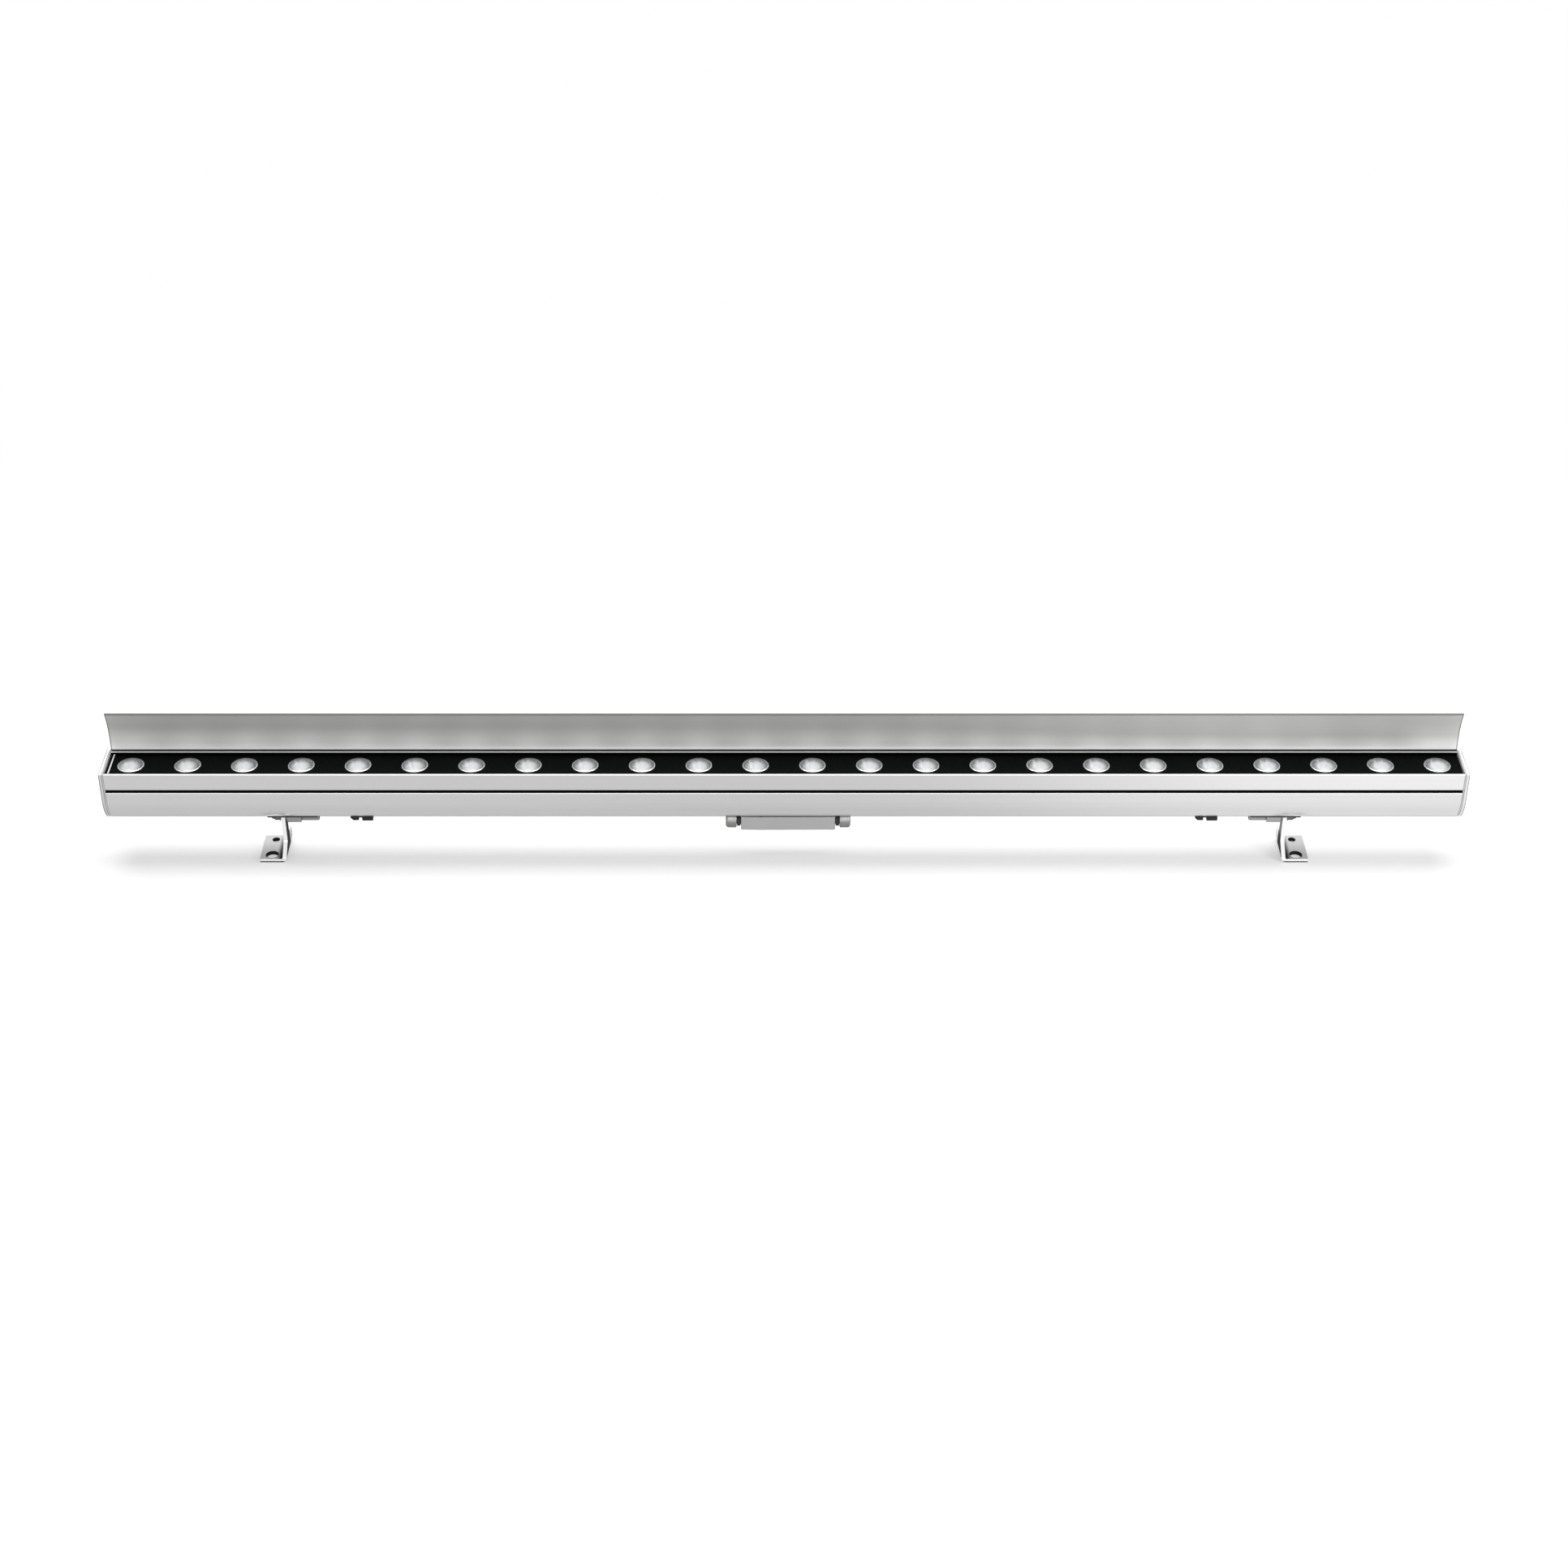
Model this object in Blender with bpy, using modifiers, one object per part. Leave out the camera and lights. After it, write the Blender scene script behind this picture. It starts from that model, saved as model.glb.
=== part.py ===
"""Linear floodlight: a long extruded body that tilts on two sheet metal feet.

Metres, +Z up. X runs along the body and the front of the light faces -Y. The origin lies on the
mounting surface, under the middle of the body. Left is -X and right is +X.
"""
import math

import bmesh
import bpy
from mathutils import Matrix, Vector

# The whole light
LENGTH = 1.000              # body from end cap to end cap
DEPTH = 0.0355              # front face to rear face
BODY_HEIGHT = 0.0410        # underside to rim
BODY_LIFT = 0.0385          # mounting surface to underside
LENS_COUNT = 24

# Clearances
GAP = 0.0003                # between pieces that touch
OVERRUN = 0.0010            # how far a cut runs past the face it opens
WELD = 0.000002             # closes the doubled rim points of a filled outline

# Section of the extrusion
RIM = 0.0020                # front wall beside the tray
REAR_RIM = 0.0016           # wall between the tray and the visor slot
SLOT = 0.0023               # visor slot, across
SLOT_DEPTH = 0.0080
LIP = 0.0016                # wall behind the visor slot
WALL = 0.0020               # flanks and floor of the lower cavity
UPPER_FACE = 0.0143         # rim down to the groove
GROOVE_WIDTH = 0.0018
GROOVE_DEPTH = 0.0030
STRAIGHT = 0.0070           # upright stretch below the groove
TUCK = 0.0066               # how far each flank curves in
TRAY_DEPTH = 0.0133         # rim down to the shelf that carries the boards
SHELF = 0.0040              # thickness of that shelf
LEDGE = 0.0016              # ledges that carry the lens plate, across
LEDGE_HEIGHT = 0.0014
RIB_SCREW_SIDE = 0.0020     # axis of an underside screw to the inner face of its rib
RIB_HEIGHT = 0.0060         # underside to the top of those ribs
RIM_ROUND = 0.0003
CAP_SCREW_INSET = 0.0033    # front and rear faces to the upper end cap screws
CAP_SCREW_DROP = 0.0115     # rim to the upper end cap screws
CAP_SCREW_LOW_INSET = 0.00255   # edge of the underside to the lower end cap screws
CAP_SCREW_LOW_Z = 0.0038    # underside to the lower end cap screws
BOSS_WALL = 0.0010          # round the front upper screw, inside the tray

# Ends
END_CAP = 0.0022
END_GASKET = 0.0008
CAP_CORNER = 0.0006
CAP_SCREW_LENGTH = 0.0100

# Screws, all of one diameter
SCREW_RADIUS = 0.0015
HEAD_RADIUS = 0.00275
SUNK_HEAD = 0.0016          # height of a countersunk head
PAN_HEAD = 0.0016
PAN_CHAMFER = 0.0008
SOCKET_RADIUS = 0.0010
SOCKET_DEPTH = 0.0009
HOLE_RADIUS = SCREW_RADIUS + GAP
SCREW_BITE = 0.0048         # how far a screw enters the ribs
SCREW_SIDES = 8
SHARP_ANGLE = 30            # degrees; edges sharper than this stay sharp when shaded

# Optics
PLATE = 0.0020
PLATE_DROP = 0.0020         # rim down to the face of the lens plate
PLATE_SEAL = 0.0008
LENS_RADIUS = 0.00965
LENS_FOOT_RADIUS = 0.0040
LENS_FLANGE = 0.0023        # upright edge of a lens
LENS_PROUD = 0.0003         # that edge above the plate
LENS_DOME = 0.0012
DOME_SHARE = 2 / 3          # radius, and rise of the dome, where its steep edge ends
LENS_SIDES = 16
LENS_WEB = 0.0012           # sheet that joins the lenses of a strip, under the plate
BOARD = 0.0016
BOARD_SIDE = 0.0047         # edges of a board to the walls of the tray
BOARD_END = 0.0020          # end of a board to the end of the housing
CHIP = 0.0035
CHIP_HEIGHT = 0.0007
STOP_WIDTH = 0.0010
STOP_HEIGHT = 0.0008
STOP_INSET = 0.0066         # left end of the light to the end stop strip
STOP_SIDE = 0.0006          # strip end to the edge of the plate

# Visor
VISOR = 0.0015              # sheet thickness
VISOR_RISE = 0.0350         # above the rim
VISOR_UPRIGHT_SHARE = 1 / 3
VISOR_LEAN = 0.0050         # how far its upper edge comes forward
VISOR_STEPS = 6
SET_SCREW_INSET = 0.1800    # ends of the light to the outer set screws
SET_SCREW_COUNT = 3

# Driver and wiring inside
DRIVER_START = 0.0200       # middle of the light to the near end of the driver board
DRIVER_LENGTH = 0.2400
DRIVER_SIDE = 0.0005        # driver board edge to the flank
PAD_END = 0.0040
HEADROOM = 0.0025           # transformer and capacitor to the shelf above
TRANSFORMER_LENGTH = 0.0240
TRANSFORMER_SIDE = 0.0030   # transformer to the edges of the driver board
TRANSFORMER_X = 0.0900      # from the near end of the driver board
TRANSFORMER_CORE = 0.0070   # width of the core's outer legs in all
TRANSFORMER_WINDOW = 0.0010 # how deep the coil lies behind the core
CAPACITOR_RADIUS = 0.0050
CAPACITOR_X = 0.1300
LEAD_RADIUS = 0.0022        # supply lead from the terminal block to the driver
LED_LEAD_RADIUS = 0.0011
LED_LEAD_X = 0.0160         # near end of the driver board to the LED lead
LED_LEAD_BEND = 0.0040
LED_LEAD_INSET = 0.0040     # edge of the driver board to the start of the LED lead
SOLDER_INSET = 0.0030       # edges of the LED board to the end of the LED lead
LEAD_SIDE_STEPS = 2
GROMMET_WALL = 0.0016
GROMMET_FLANGE = 0.0010
GROMMET_FLANGE_WIDTH = 0.0007

# Wiring box under the body
BOX_X = 0.0030
BOX_LENGTH = 0.0700
BOX_DEPTH = 0.0200
BOX_HEIGHT = 0.0115
BOX_WALL = 0.0018
BOX_FLOOR = 0.0016
BOX_GASKET = 0.0008
BOX_CORNER = 0.0012
POST_LENGTH = 0.0050
POST_DEPTH = 0.0036
BOX_SCREW_X = 0.0150        # ends of the box to its screws
TERMINAL = (0.0200, 0.0090, 0.0060)
POLE_PITCH = 0.0055
POLE_RADIUS = 0.0010
POLE_DEPTH = 0.0020

# Cable glands
GLAND_BORE = 0.00305
GLAND_THREAD = 0.0039
GLAND_INSIDE = 0.0008       # thread past the inner face of the box wall
GLAND_FLANGE = 0.0026
GLAND_FLANGE_RADIUS = 0.0058
GLAND_NECK = 0.0034
GLAND_NUT = 0.0080
GLAND_NUT_SPACE = 0.0004    # nut to the underside of the body
GLAND_SIDE = 0.0004         # gland thread to the front wall of the box
GLAND_NUT_END = 0.0016      # closed end wall of the nut
GLAND_NUT_CHAMFER = 0.0020
GLAND_SIDES = 12

# Feet and tilt pivots
BRACKET_INSET = 0.1300      # end of the light to the inner face of the foot's arm
SHEET = 0.0030
FOOT_WIDTH = 0.0200
FOOT_DEPTH = 0.0310
BEND_RADIUS = 0.0040
ARM_RADIUS = 0.0045
ARM_CLEARANCE = 0.0005      # arm top to the pivot shoe
NECK_FRONT = 0.0120
NECK_REAR = 0.0145
SHOULDER = 0.0120
NECK_ROUND = 0.0030
FOOT_HOLE_X = 0.0115        # arm's inner face to both holes
FOOT_HOLE_Y = 0.0099
BIG_HOLE_RADIUS = 0.0045
SMALL_HOLE_RADIUS = 0.0025
SHOE = 0.0015
SHOE_SIDE = 0.00085         # edge of the underside to the edge of the shoe
SHOE_INNER = 0.0260         # plate past the arm's inner face, towards the middle
SHOE_OUTER = 0.0125         # plate past the arm's inner face, outwards
SHOE_CORNER = 0.0020
SHOE_SCREW_OUT = 0.0066     # arm's inner face to the outer screws
SHOE_SCREW_IN = 0.0175      # arm's inner face to the inner screws
UNDER_SCREW_INSET = 0.00365 # edge of the underside to every screw in it
LUG = 0.0105
LUG_BELOW = 0.0036          # pivot axis to the lower edge of the lug
LUG_ROUND = 0.0012
BOLT_RADIUS = 0.0020
BOLT_HEAD = 0.0040
BOLT_HEAD_RADIUS = 0.0035
BOLT_SOCKET_RADIUS = 0.0015
BOLT_SOCKET = 0.0022
WASHER = 0.0008             # washer between the arm and the lug, and flange of the bolt
WASHER_RADIUS = 0.0040
NUT = 0.0126
NUT_RADIUS = 0.0040
NUT_CHAMFER = 0.0005
NUT_SIDES = 6
BOLT_RECESS = 0.0010        # tip of the bolt inside its nut
PIVOT_SIDES = 16

# Cable clips
CLIP_SPACING = 0.0580       # inner face of the foot's arm to the middle of the clip
CLIP_LENGTH = 0.0166
CLIP_BLOCK = 0.0081
CLIP_MOUTH = 0.0024
CLIP_HEIGHT = 0.0040
CLIP_TONGUE_HEIGHT = 0.0036
CLIP_SLANT = 0.0020
CLIP_WEB = 0.0012
CLIP_DEPTH = 0.0062

# Levels and places worked out from the sizes above
HALF = DEPTH / 2
UNDERSIDE_HALF = HALF - TUCK
UNDER_SCREW_Y = UNDERSIDE_HALF - UNDER_SCREW_INSET
CAP_SCREW_LOW_Y = UNDERSIDE_HALF - CAP_SCREW_LOW_INSET
RIB_INNER = UNDER_SCREW_Y - RIB_SCREW_SIDE
SHOE_DEPTH = 2 * (UNDERSIDE_HALF - SHOE_SIDE)
BRACKET_X = LENGTH / 2 - BRACKET_INSET
CLIP_X = BRACKET_X - CLIP_SPACING
BODY_TOP = BODY_LIFT + BODY_HEIGHT
GROOVE_TOP = BODY_TOP - UPPER_FACE
GROOVE_BOTTOM = GROOVE_TOP - GROOVE_WIDTH
FLANK_TOP = GROOVE_BOTTOM - STRAIGHT
FLANK_RADIUS = ((FLANK_TOP - BODY_LIFT) ** 2 + TUCK ** 2) / (2 * TUCK)
FLANK_STEPS = 6
SHELF_TOP = BODY_TOP - TRAY_DEPTH
SHELF_BOTTOM = SHELF_TOP - SHELF
FLOOR_TOP = BODY_LIFT + WALL
RIB_TOP = BODY_LIFT + RIB_HEIGHT
SLOT_BOTTOM = BODY_TOP - SLOT_DEPTH
SLOT_REAR = HALF - LIP
SLOT_FRONT = SLOT_REAR - SLOT
TRAY_FRONT = -HALF + RIM
TRAY_REAR = SLOT_FRONT - REAR_RIM
TRAY_MIDDLE = (TRAY_FRONT + TRAY_REAR) / 2
BOARD_WIDTH = TRAY_REAR - TRAY_FRONT - 2 * BOARD_SIDE
PLATE_TOP = BODY_TOP - PLATE_DROP
PLATE_BOTTOM = PLATE_TOP - PLATE
SEAL_BOTTOM = PLATE_BOTTOM - GAP - PLATE_SEAL
LEDGE_TOP = SEAL_BOTTOM - GAP
LEDGE_BOTTOM = LEDGE_TOP - LEDGE_HEIGHT
CAP_SCREW_Y = HALF - CAP_SCREW_INSET
CAP_SCREW_Z = BODY_TOP - CAP_SCREW_DROP
HOUSING_END = LENGTH / 2 - END_CAP - END_GASKET - 2 * GAP
LENS_PITCH = LENGTH / LENS_COUNT
BOARD_TOP = SHELF_TOP + GAP + BOARD
CHIP_TOP = BOARD_TOP + CHIP_HEIGHT
LENS_BOTTOM = CHIP_TOP + GAP
LENS_EDGE_TOP = PLATE_TOP + LENS_PROUD
DRIVER_BOTTOM = RIB_TOP + GAP
DRIVER_TOP = DRIVER_BOTTOM + BOARD
LEAD_HOLE = LEAD_RADIUS + GROMMET_WALL + 2 * GAP
BOX_TOP = BODY_LIFT - 2 * GAP - BOX_GASKET
BOX_BOTTOM = BOX_TOP - BOX_HEIGHT
GLAND_Z = BOX_BOTTOM + BOX_FLOOR + GAP + GLAND_THREAD
GLAND_NUT_RADIUS = BODY_LIFT - GLAND_NUT_SPACE - GLAND_Z
GLAND_Y = GLAND_THREAD + GLAND_SIDE + BOX_WALL - BOX_DEPTH / 2
SHOE_BOTTOM = BODY_LIFT - GAP - SHOE
PIVOT_Z = SHOE_BOTTOM - ARM_CLEARANCE - ARM_RADIUS
WASHER_SPACE = WASHER + 2 * GAP
LUG_OUTER = BRACKET_X - WASHER_SPACE
LUG_INNER = LUG_OUTER - LUG

# Local axes of an outline drawn across the light, and of one drawn on its front
ACROSS = Matrix(((0, 0, 1, 0), (1, 0, 0, 0), (0, 1, 0, 0), (0, 0, 0, 1)))
ON_FRONT = Matrix(((1, 0, 0, 0), (0, 0, -1, 0), (0, 1, 0, 0), (0, 0, 0, 1)))

FINISHES = {
    "anodised": ((0.70, 0.71, 0.72), 0.38, 0.9),
    "visor_grey": ((0.42, 0.42, 0.43), 0.45, 0.6),
    "stainless": ((0.75, 0.75, 0.74), 0.16, 1.0),
    "zinc": ((0.62, 0.62, 0.60), 0.30, 1.0),
    "black_plastic": ((0.02, 0.02, 0.02), 0.45, 0.0),
    "black_rubber": ((0.03, 0.03, 0.03), 0.75, 0.0),
    "clear": ((0.88, 0.90, 0.92), 0.08, 0.0),
    "board_white": ((0.85, 0.86, 0.84), 0.50, 0.0),
    "board_green": ((0.05, 0.25, 0.12), 0.50, 0.0),
    "component_grey": ((0.45, 0.46, 0.50), 0.80, 0.0),
    "ceramic": ((0.80, 0.78, 0.72), 0.50, 0.0),
}


def clear_scene():
    """Start from nothing, so that the script gives the same model each time."""
    for item in list(bpy.data.objects):
        bpy.data.objects.remove(item, do_unlink=True)


def new_collection(name):
    """Collection of the given name, linked to the scene."""
    collection = bpy.data.collections.new(name)
    bpy.context.scene.collection.children.link(collection)
    return collection


clear_scene()
PARTS = new_collection("linear_floodlight")
CUTTERS = new_collection("cutters")


def axis_empty(name, place):
    """Empty on a joint's axis, which carries the pieces of one body."""
    empty = bpy.data.objects.new(name, None)
    PARTS.objects.link(empty)
    empty.location = place
    empty.empty_display_type = "SINGLE_ARROW"
    empty.empty_display_size = FOOT_DEPTH
    bpy.context.view_layer.update()
    return empty


LEFT_FOOT = axis_empty("left_foot_axis", (-BRACKET_X, 0, PIVOT_Z))
BODY = axis_empty("body_axis", (0, 0, PIVOT_Z))
RIGHT_FOOT = axis_empty("right_foot_axis", (BRACKET_X, 0, PIVOT_Z))


def finish(piece, kind, carrier=BODY):
    """Give a piece its own material and hang it on the empty that carries it."""
    colour, roughness, metallic = FINISHES[kind]
    material = bpy.data.materials.new(piece.name + "_finish")
    material.use_nodes = True
    shader = material.node_tree.nodes["Principled BSDF"]
    shader.inputs["Base Color"].default_value = (*colour, 1.0)
    shader.inputs["Roughness"].default_value = roughness
    shader.inputs["Metallic"].default_value = metallic
    piece.data.materials.clear()
    piece.data.materials.append(material)
    piece.parent = carrier
    piece.matrix_parent_inverse = carrier.matrix_world.inverted()
    return piece


def circle(x, y, radius, sides):
    """Points of a round outline."""
    turns = [2 * math.pi * step / sides for step in range(sides)]
    return [(x + radius * math.cos(turn), y + radius * math.sin(turn)) for turn in turns]


def rectangle(low_x, low_y, high_x, high_y):
    """Corners of an upright rectangle."""
    return [(low_x, low_y), (high_x, low_y), (high_x, high_y), (low_x, high_y)]


def rounded(corners, steps=3):
    """Outline through (x, y, radius) corners, each given radius drawn as a short arc."""
    outline = []
    for index, (x, y, radius) in enumerate(corners):
        corner = Vector((x, y))
        if not radius:
            outline.append((x, y))
            continue
        before = (Vector(corners[index - 1][:2]) - corner).normalized()
        after = (Vector(corners[(index + 1) % len(corners)][:2]) - corner).normalized()
        half_angle = before.angle(after) / 2
        centre = corner + (before + after).normalized() * (radius / math.sin(half_angle))
        reach = radius / math.tan(half_angle)
        first = corner + before * reach - centre
        last = corner + after * reach - centre
        sweep = first.angle_signed(last)
        for step in range(steps + 1):
            spoke = first.copy()
            spoke.rotate(Matrix.Rotation(-sweep * step / steps, 2))
            outline.append(tuple(centre + spoke))
    return outline


def mirrored_outline(outline, side):
    """The outline as drawn for the right (side 1), or its mirror image for the left (side -1)."""
    return [(side * x, y) for x, y in outline]


def own_mesh(piece):
    """Finished mesh of an object, with its modifiers or its curve settings applied."""
    bpy.context.view_layer.update()
    evaluated = piece.evaluated_get(bpy.context.evaluated_depsgraph_get())
    return bpy.data.meshes.new_from_object(evaluated)


def slab(name, loops, thickness, place):
    """Flat solid between outlines: the first is its edge, the others are holes through it."""
    curve = bpy.data.curves.new(name, "CURVE")
    curve.dimensions = "2D"
    curve.fill_mode = "BOTH"
    curve.extrude = thickness / 2
    for loop in loops:
        spline = curve.splines.new("POLY")
        spline.points.add(len(loop) - 1)
        for point, (across, up) in zip(spline.points, loop):
            point.co = (across, up, 0, 1)
        spline.use_cyclic_u = True
    outline = bpy.data.objects.new(name + "_outline", curve)
    CUTTERS.objects.link(outline)
    mesh = own_mesh(outline)
    bpy.data.objects.remove(outline, do_unlink=True)
    welded = bmesh.new()
    welded.from_mesh(mesh)
    bmesh.ops.remove_doubles(welded, verts=welded.verts, dist=WELD)
    bmesh.ops.recalc_face_normals(welded, faces=welded.faces)
    welded.to_mesh(mesh)
    welded.free()
    piece = bpy.data.objects.new(name, mesh)
    PARTS.objects.link(piece)
    piece.matrix_world = place
    return piece


def along_x(name, loops, start, end):
    """Solid with the given section across the light, from one X to another."""
    place = Matrix.Translation(((start + end) / 2, 0, 0)) @ ACROSS
    return slab(name, loops, abs(end - start), place)


def along_y(name, loops, start, end):
    """Solid with the given outline in X and Z, from one Y to another."""
    place = Matrix.Translation((0, (start + end) / 2, 0)) @ ON_FRONT
    return slab(name, loops, abs(end - start), place)


def upright(name, loops, bottom, top):
    """Solid with the given outline in X and Y, from one height to another."""
    return slab(name, loops, top - bottom, Matrix.Translation((0, 0, (bottom + top) / 2)))


def copies(name, mesh, places):
    """One object that holds a copy of the mesh at each place."""
    joined = bmesh.new()
    for place in places:
        first = len(joined.verts)
        joined.from_mesh(mesh)
        joined.verts.ensure_lookup_table()
        for vertex in joined.verts[first:]:
            vertex.co = place @ vertex.co
    result = bpy.data.meshes.new(name)
    joined.to_mesh(result)
    joined.free()
    piece = bpy.data.objects.new(name, result)
    PARTS.objects.link(piece)
    return piece


def turned(name, profile, sides, places, closed=False):
    """Turned solid at each place; profile rows are (radius, height), run down the outer side."""
    mesh = bpy.data.meshes.new(name)
    edges = [(row, row + 1) for row in range(len(profile) - 1)]
    if closed:
        edges.append((len(profile) - 1, 0))
    mesh.from_pydata([(radius, 0, height) for radius, height in profile], edges, [])
    lathe = bpy.data.objects.new(name + "_profile", mesh)
    CUTTERS.objects.link(lathe)
    screw = lathe.modifiers.new("turn", "SCREW")
    screw.steps = sides
    screw.render_steps = sides
    screw.use_merge_vertices = True
    screw.merge_threshold = WELD
    body = own_mesh(lathe)
    bpy.data.objects.remove(lathe, do_unlink=True)
    body.shade_smooth()
    body.set_sharp_from_angle(angle=math.radians(SHARP_ANGLE))
    return copies(name, body, places)


def screws(name, profile, places):
    """Screws of one kind, each its own piece with a number in its name."""
    for number, place in enumerate(places, start=1):
        screw = turned(f"{name}_{number}", profile, SCREW_SIDES, [place])
        finish(screw, "stainless")


def facing(direction, place):
    """Placement that turns local Z to the given direction."""
    turn = Vector(direction).to_track_quat("Z", "Y").to_matrix().to_4x4()
    return Matrix.Translation(place) @ turn


def blocks(name, boxes):
    """One object with a cube stretched between the low and high corner of each box."""
    joined = bmesh.new()
    for low, high in boxes:
        size = Vector(high) - Vector(low)
        middle = (Vector(high) + Vector(low)) / 2
        stretch = Matrix.Diagonal((*size, 1))
        bmesh.ops.create_cube(joined, size=1, matrix=Matrix.Translation(middle) @ stretch)
    mesh = bpy.data.meshes.new(name)
    joined.to_mesh(mesh)
    joined.free()
    piece = bpy.data.objects.new(name, mesh)
    PARTS.objects.link(piece)
    return piece


def drills(name, holes):
    """Cylinders for a cut: each hole is (mouth, direction of the drill, radius, depth, sides)."""
    joined = bmesh.new()
    for mouth, direction, radius, depth, sides in holes:
        run = Vector(direction)
        middle = Vector(mouth) + run * (depth - OVERRUN) / 2
        bmesh.ops.create_cone(joined, cap_ends=True, segments=sides, radius1=radius,
                              radius2=radius, depth=depth + OVERRUN,
                              matrix=facing(run, middle))
    mesh = bpy.data.meshes.new(name)
    joined.to_mesh(mesh)
    joined.free()
    piece = bpy.data.objects.new(name, mesh)
    PARTS.objects.link(piece)
    return piece


def combine(piece, tool, operation="DIFFERENCE"):
    """Cut the piece with the tool, or join the tool to it, and put the tool with the cutters."""
    PARTS.objects.unlink(tool)
    CUTTERS.objects.link(tool)
    tool.hide_render = True
    tool.display_type = "WIRE"
    modifier = piece.modifiers.new(tool.name, "BOOLEAN")
    modifier.operation = operation
    modifier.solver = "EXACT"
    modifier.object = tool
    return piece


def sunk_profile(length):
    """Countersunk screw with a round socket; its face is at height 0."""
    return [(0, -SOCKET_DEPTH), (SOCKET_RADIUS, -SOCKET_DEPTH), (SOCKET_RADIUS, 0),
            (HEAD_RADIUS, 0), (SCREW_RADIUS, -SUNK_HEAD), (SCREW_RADIUS, -length), (0, -length)]


def sunk_hole_profile(length):
    """Cutter for that screw."""
    return [(0, OVERRUN), (HEAD_RADIUS + GAP, OVERRUN), (HEAD_RADIUS + GAP, 0),
            (HOLE_RADIUS, -SUNK_HEAD), (HOLE_RADIUS, -length), (0, -length)]


def pan_profile(length):
    """Pan head screw with a round socket; its seat is at height 0."""
    return [(0, PAN_HEAD - SOCKET_DEPTH), (SOCKET_RADIUS, PAN_HEAD - SOCKET_DEPTH),
            (SOCKET_RADIUS, PAN_HEAD), (HEAD_RADIUS - PAN_CHAMFER, PAN_HEAD),
            (HEAD_RADIUS, PAN_HEAD - PAN_CHAMFER), (HEAD_RADIUS, 0),
            (SCREW_RADIUS, 0), (SCREW_RADIUS, -length), (0, -length)]


def ring_profile(inner, outer, bottom, top):
    """Plain ring, for a closed turned profile."""
    return [(inner, top), (outer, top), (outer, bottom), (inner, bottom)]


def flank(side, inset, lowest):
    """Points of one curved flank, from its top down to a height; inset draws it inwards."""
    radius = FLANK_RADIUS - inset
    last = math.asin((FLANK_TOP - lowest) / radius)
    points = []
    for step in range(FLANK_STEPS + 1):
        angle = last * step / FLANK_STEPS
        across = HALF - FLANK_RADIUS + radius * math.cos(angle)
        points.append((side * across, FLANK_TOP - radius * math.sin(angle)))
    return points


def plain(points):
    """The same points as corners without a radius."""
    return [(x, y, 0) for x, y in points]


def body_outline():
    """Outer section of the extrusion, with its groove, visor slot, ledges and screw boss."""
    boss_inner = -CAP_SCREW_Y + HOLE_RADIUS + BOSS_WALL
    boss_top = CAP_SCREW_Z + HOLE_RADIUS + BOSS_WALL
    corners = [(-HALF, BODY_TOP, RIM_ROUND), (-HALF, GROOVE_TOP, 0),
               (-HALF + GROOVE_DEPTH, GROOVE_TOP, 0), (-HALF + GROOVE_DEPTH, GROOVE_BOTTOM, 0),
               (-HALF, GROOVE_BOTTOM, 0)]
    corners += plain(flank(-1, 0, BODY_LIFT))
    corners += plain(reversed(flank(1, 0, BODY_LIFT)))
    corners += [(HALF, BODY_TOP, RIM_ROUND), (SLOT_REAR, BODY_TOP, 0),
                (SLOT_REAR, SLOT_BOTTOM, 0), (SLOT_FRONT, SLOT_BOTTOM, 0),
                (SLOT_FRONT, BODY_TOP, 0), (TRAY_REAR, BODY_TOP, RIM_ROUND),
                (TRAY_REAR, LEDGE_TOP, 0), (TRAY_REAR - LEDGE, LEDGE_TOP, 0),
                (TRAY_REAR - LEDGE, LEDGE_BOTTOM, 0), (TRAY_REAR, LEDGE_BOTTOM, 0),
                (TRAY_REAR, SHELF_TOP, 0), (boss_inner, SHELF_TOP, 0),
                (boss_inner, boss_top, 0), (TRAY_FRONT, boss_top, 0),
                (TRAY_FRONT, LEDGE_BOTTOM, 0), (TRAY_FRONT + LEDGE, LEDGE_BOTTOM, 0),
                (TRAY_FRONT + LEDGE, LEDGE_TOP, 0), (TRAY_FRONT, LEDGE_TOP, 0),
                (TRAY_FRONT, BODY_TOP, RIM_ROUND)]
    return rounded(corners, steps=2)


def cavity_outline():
    """Inner section of the lower cavity, with the two ribs on its floor."""
    outline = [(-HALF + WALL, SHELF_BOTTOM)]
    outline += flank(-1, WALL, RIB_TOP)
    outline += [(-RIB_INNER, RIB_TOP), (-RIB_INNER, FLOOR_TOP)]
    outline += [(RIB_INNER, FLOOR_TOP), (RIB_INNER, RIB_TOP)]
    outline += reversed(flank(1, WALL, RIB_TOP))
    outline += [(HALF - WALL, SHELF_BOTTOM)]
    return outline


def end_outline():
    """Outline of an end cap: the body without its groove and slot."""
    corners = [(-HALF, BODY_TOP, CAP_CORNER)]
    corners += plain(flank(-1, 0, BODY_LIFT))
    corners += plain(reversed(flank(1, 0, BODY_LIFT)))
    corners += [(HALF, BODY_TOP, CAP_CORNER)]
    return rounded(corners)


def cap_screw_spots():
    """Y and Z of the four screws in each end."""
    return [(-CAP_SCREW_Y, CAP_SCREW_Z), (CAP_SCREW_Y, CAP_SCREW_Z),
            (-CAP_SCREW_LOW_Y, BODY_LIFT + CAP_SCREW_LOW_Z),
            (CAP_SCREW_LOW_Y, BODY_LIFT + CAP_SCREW_LOW_Z)]


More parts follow.
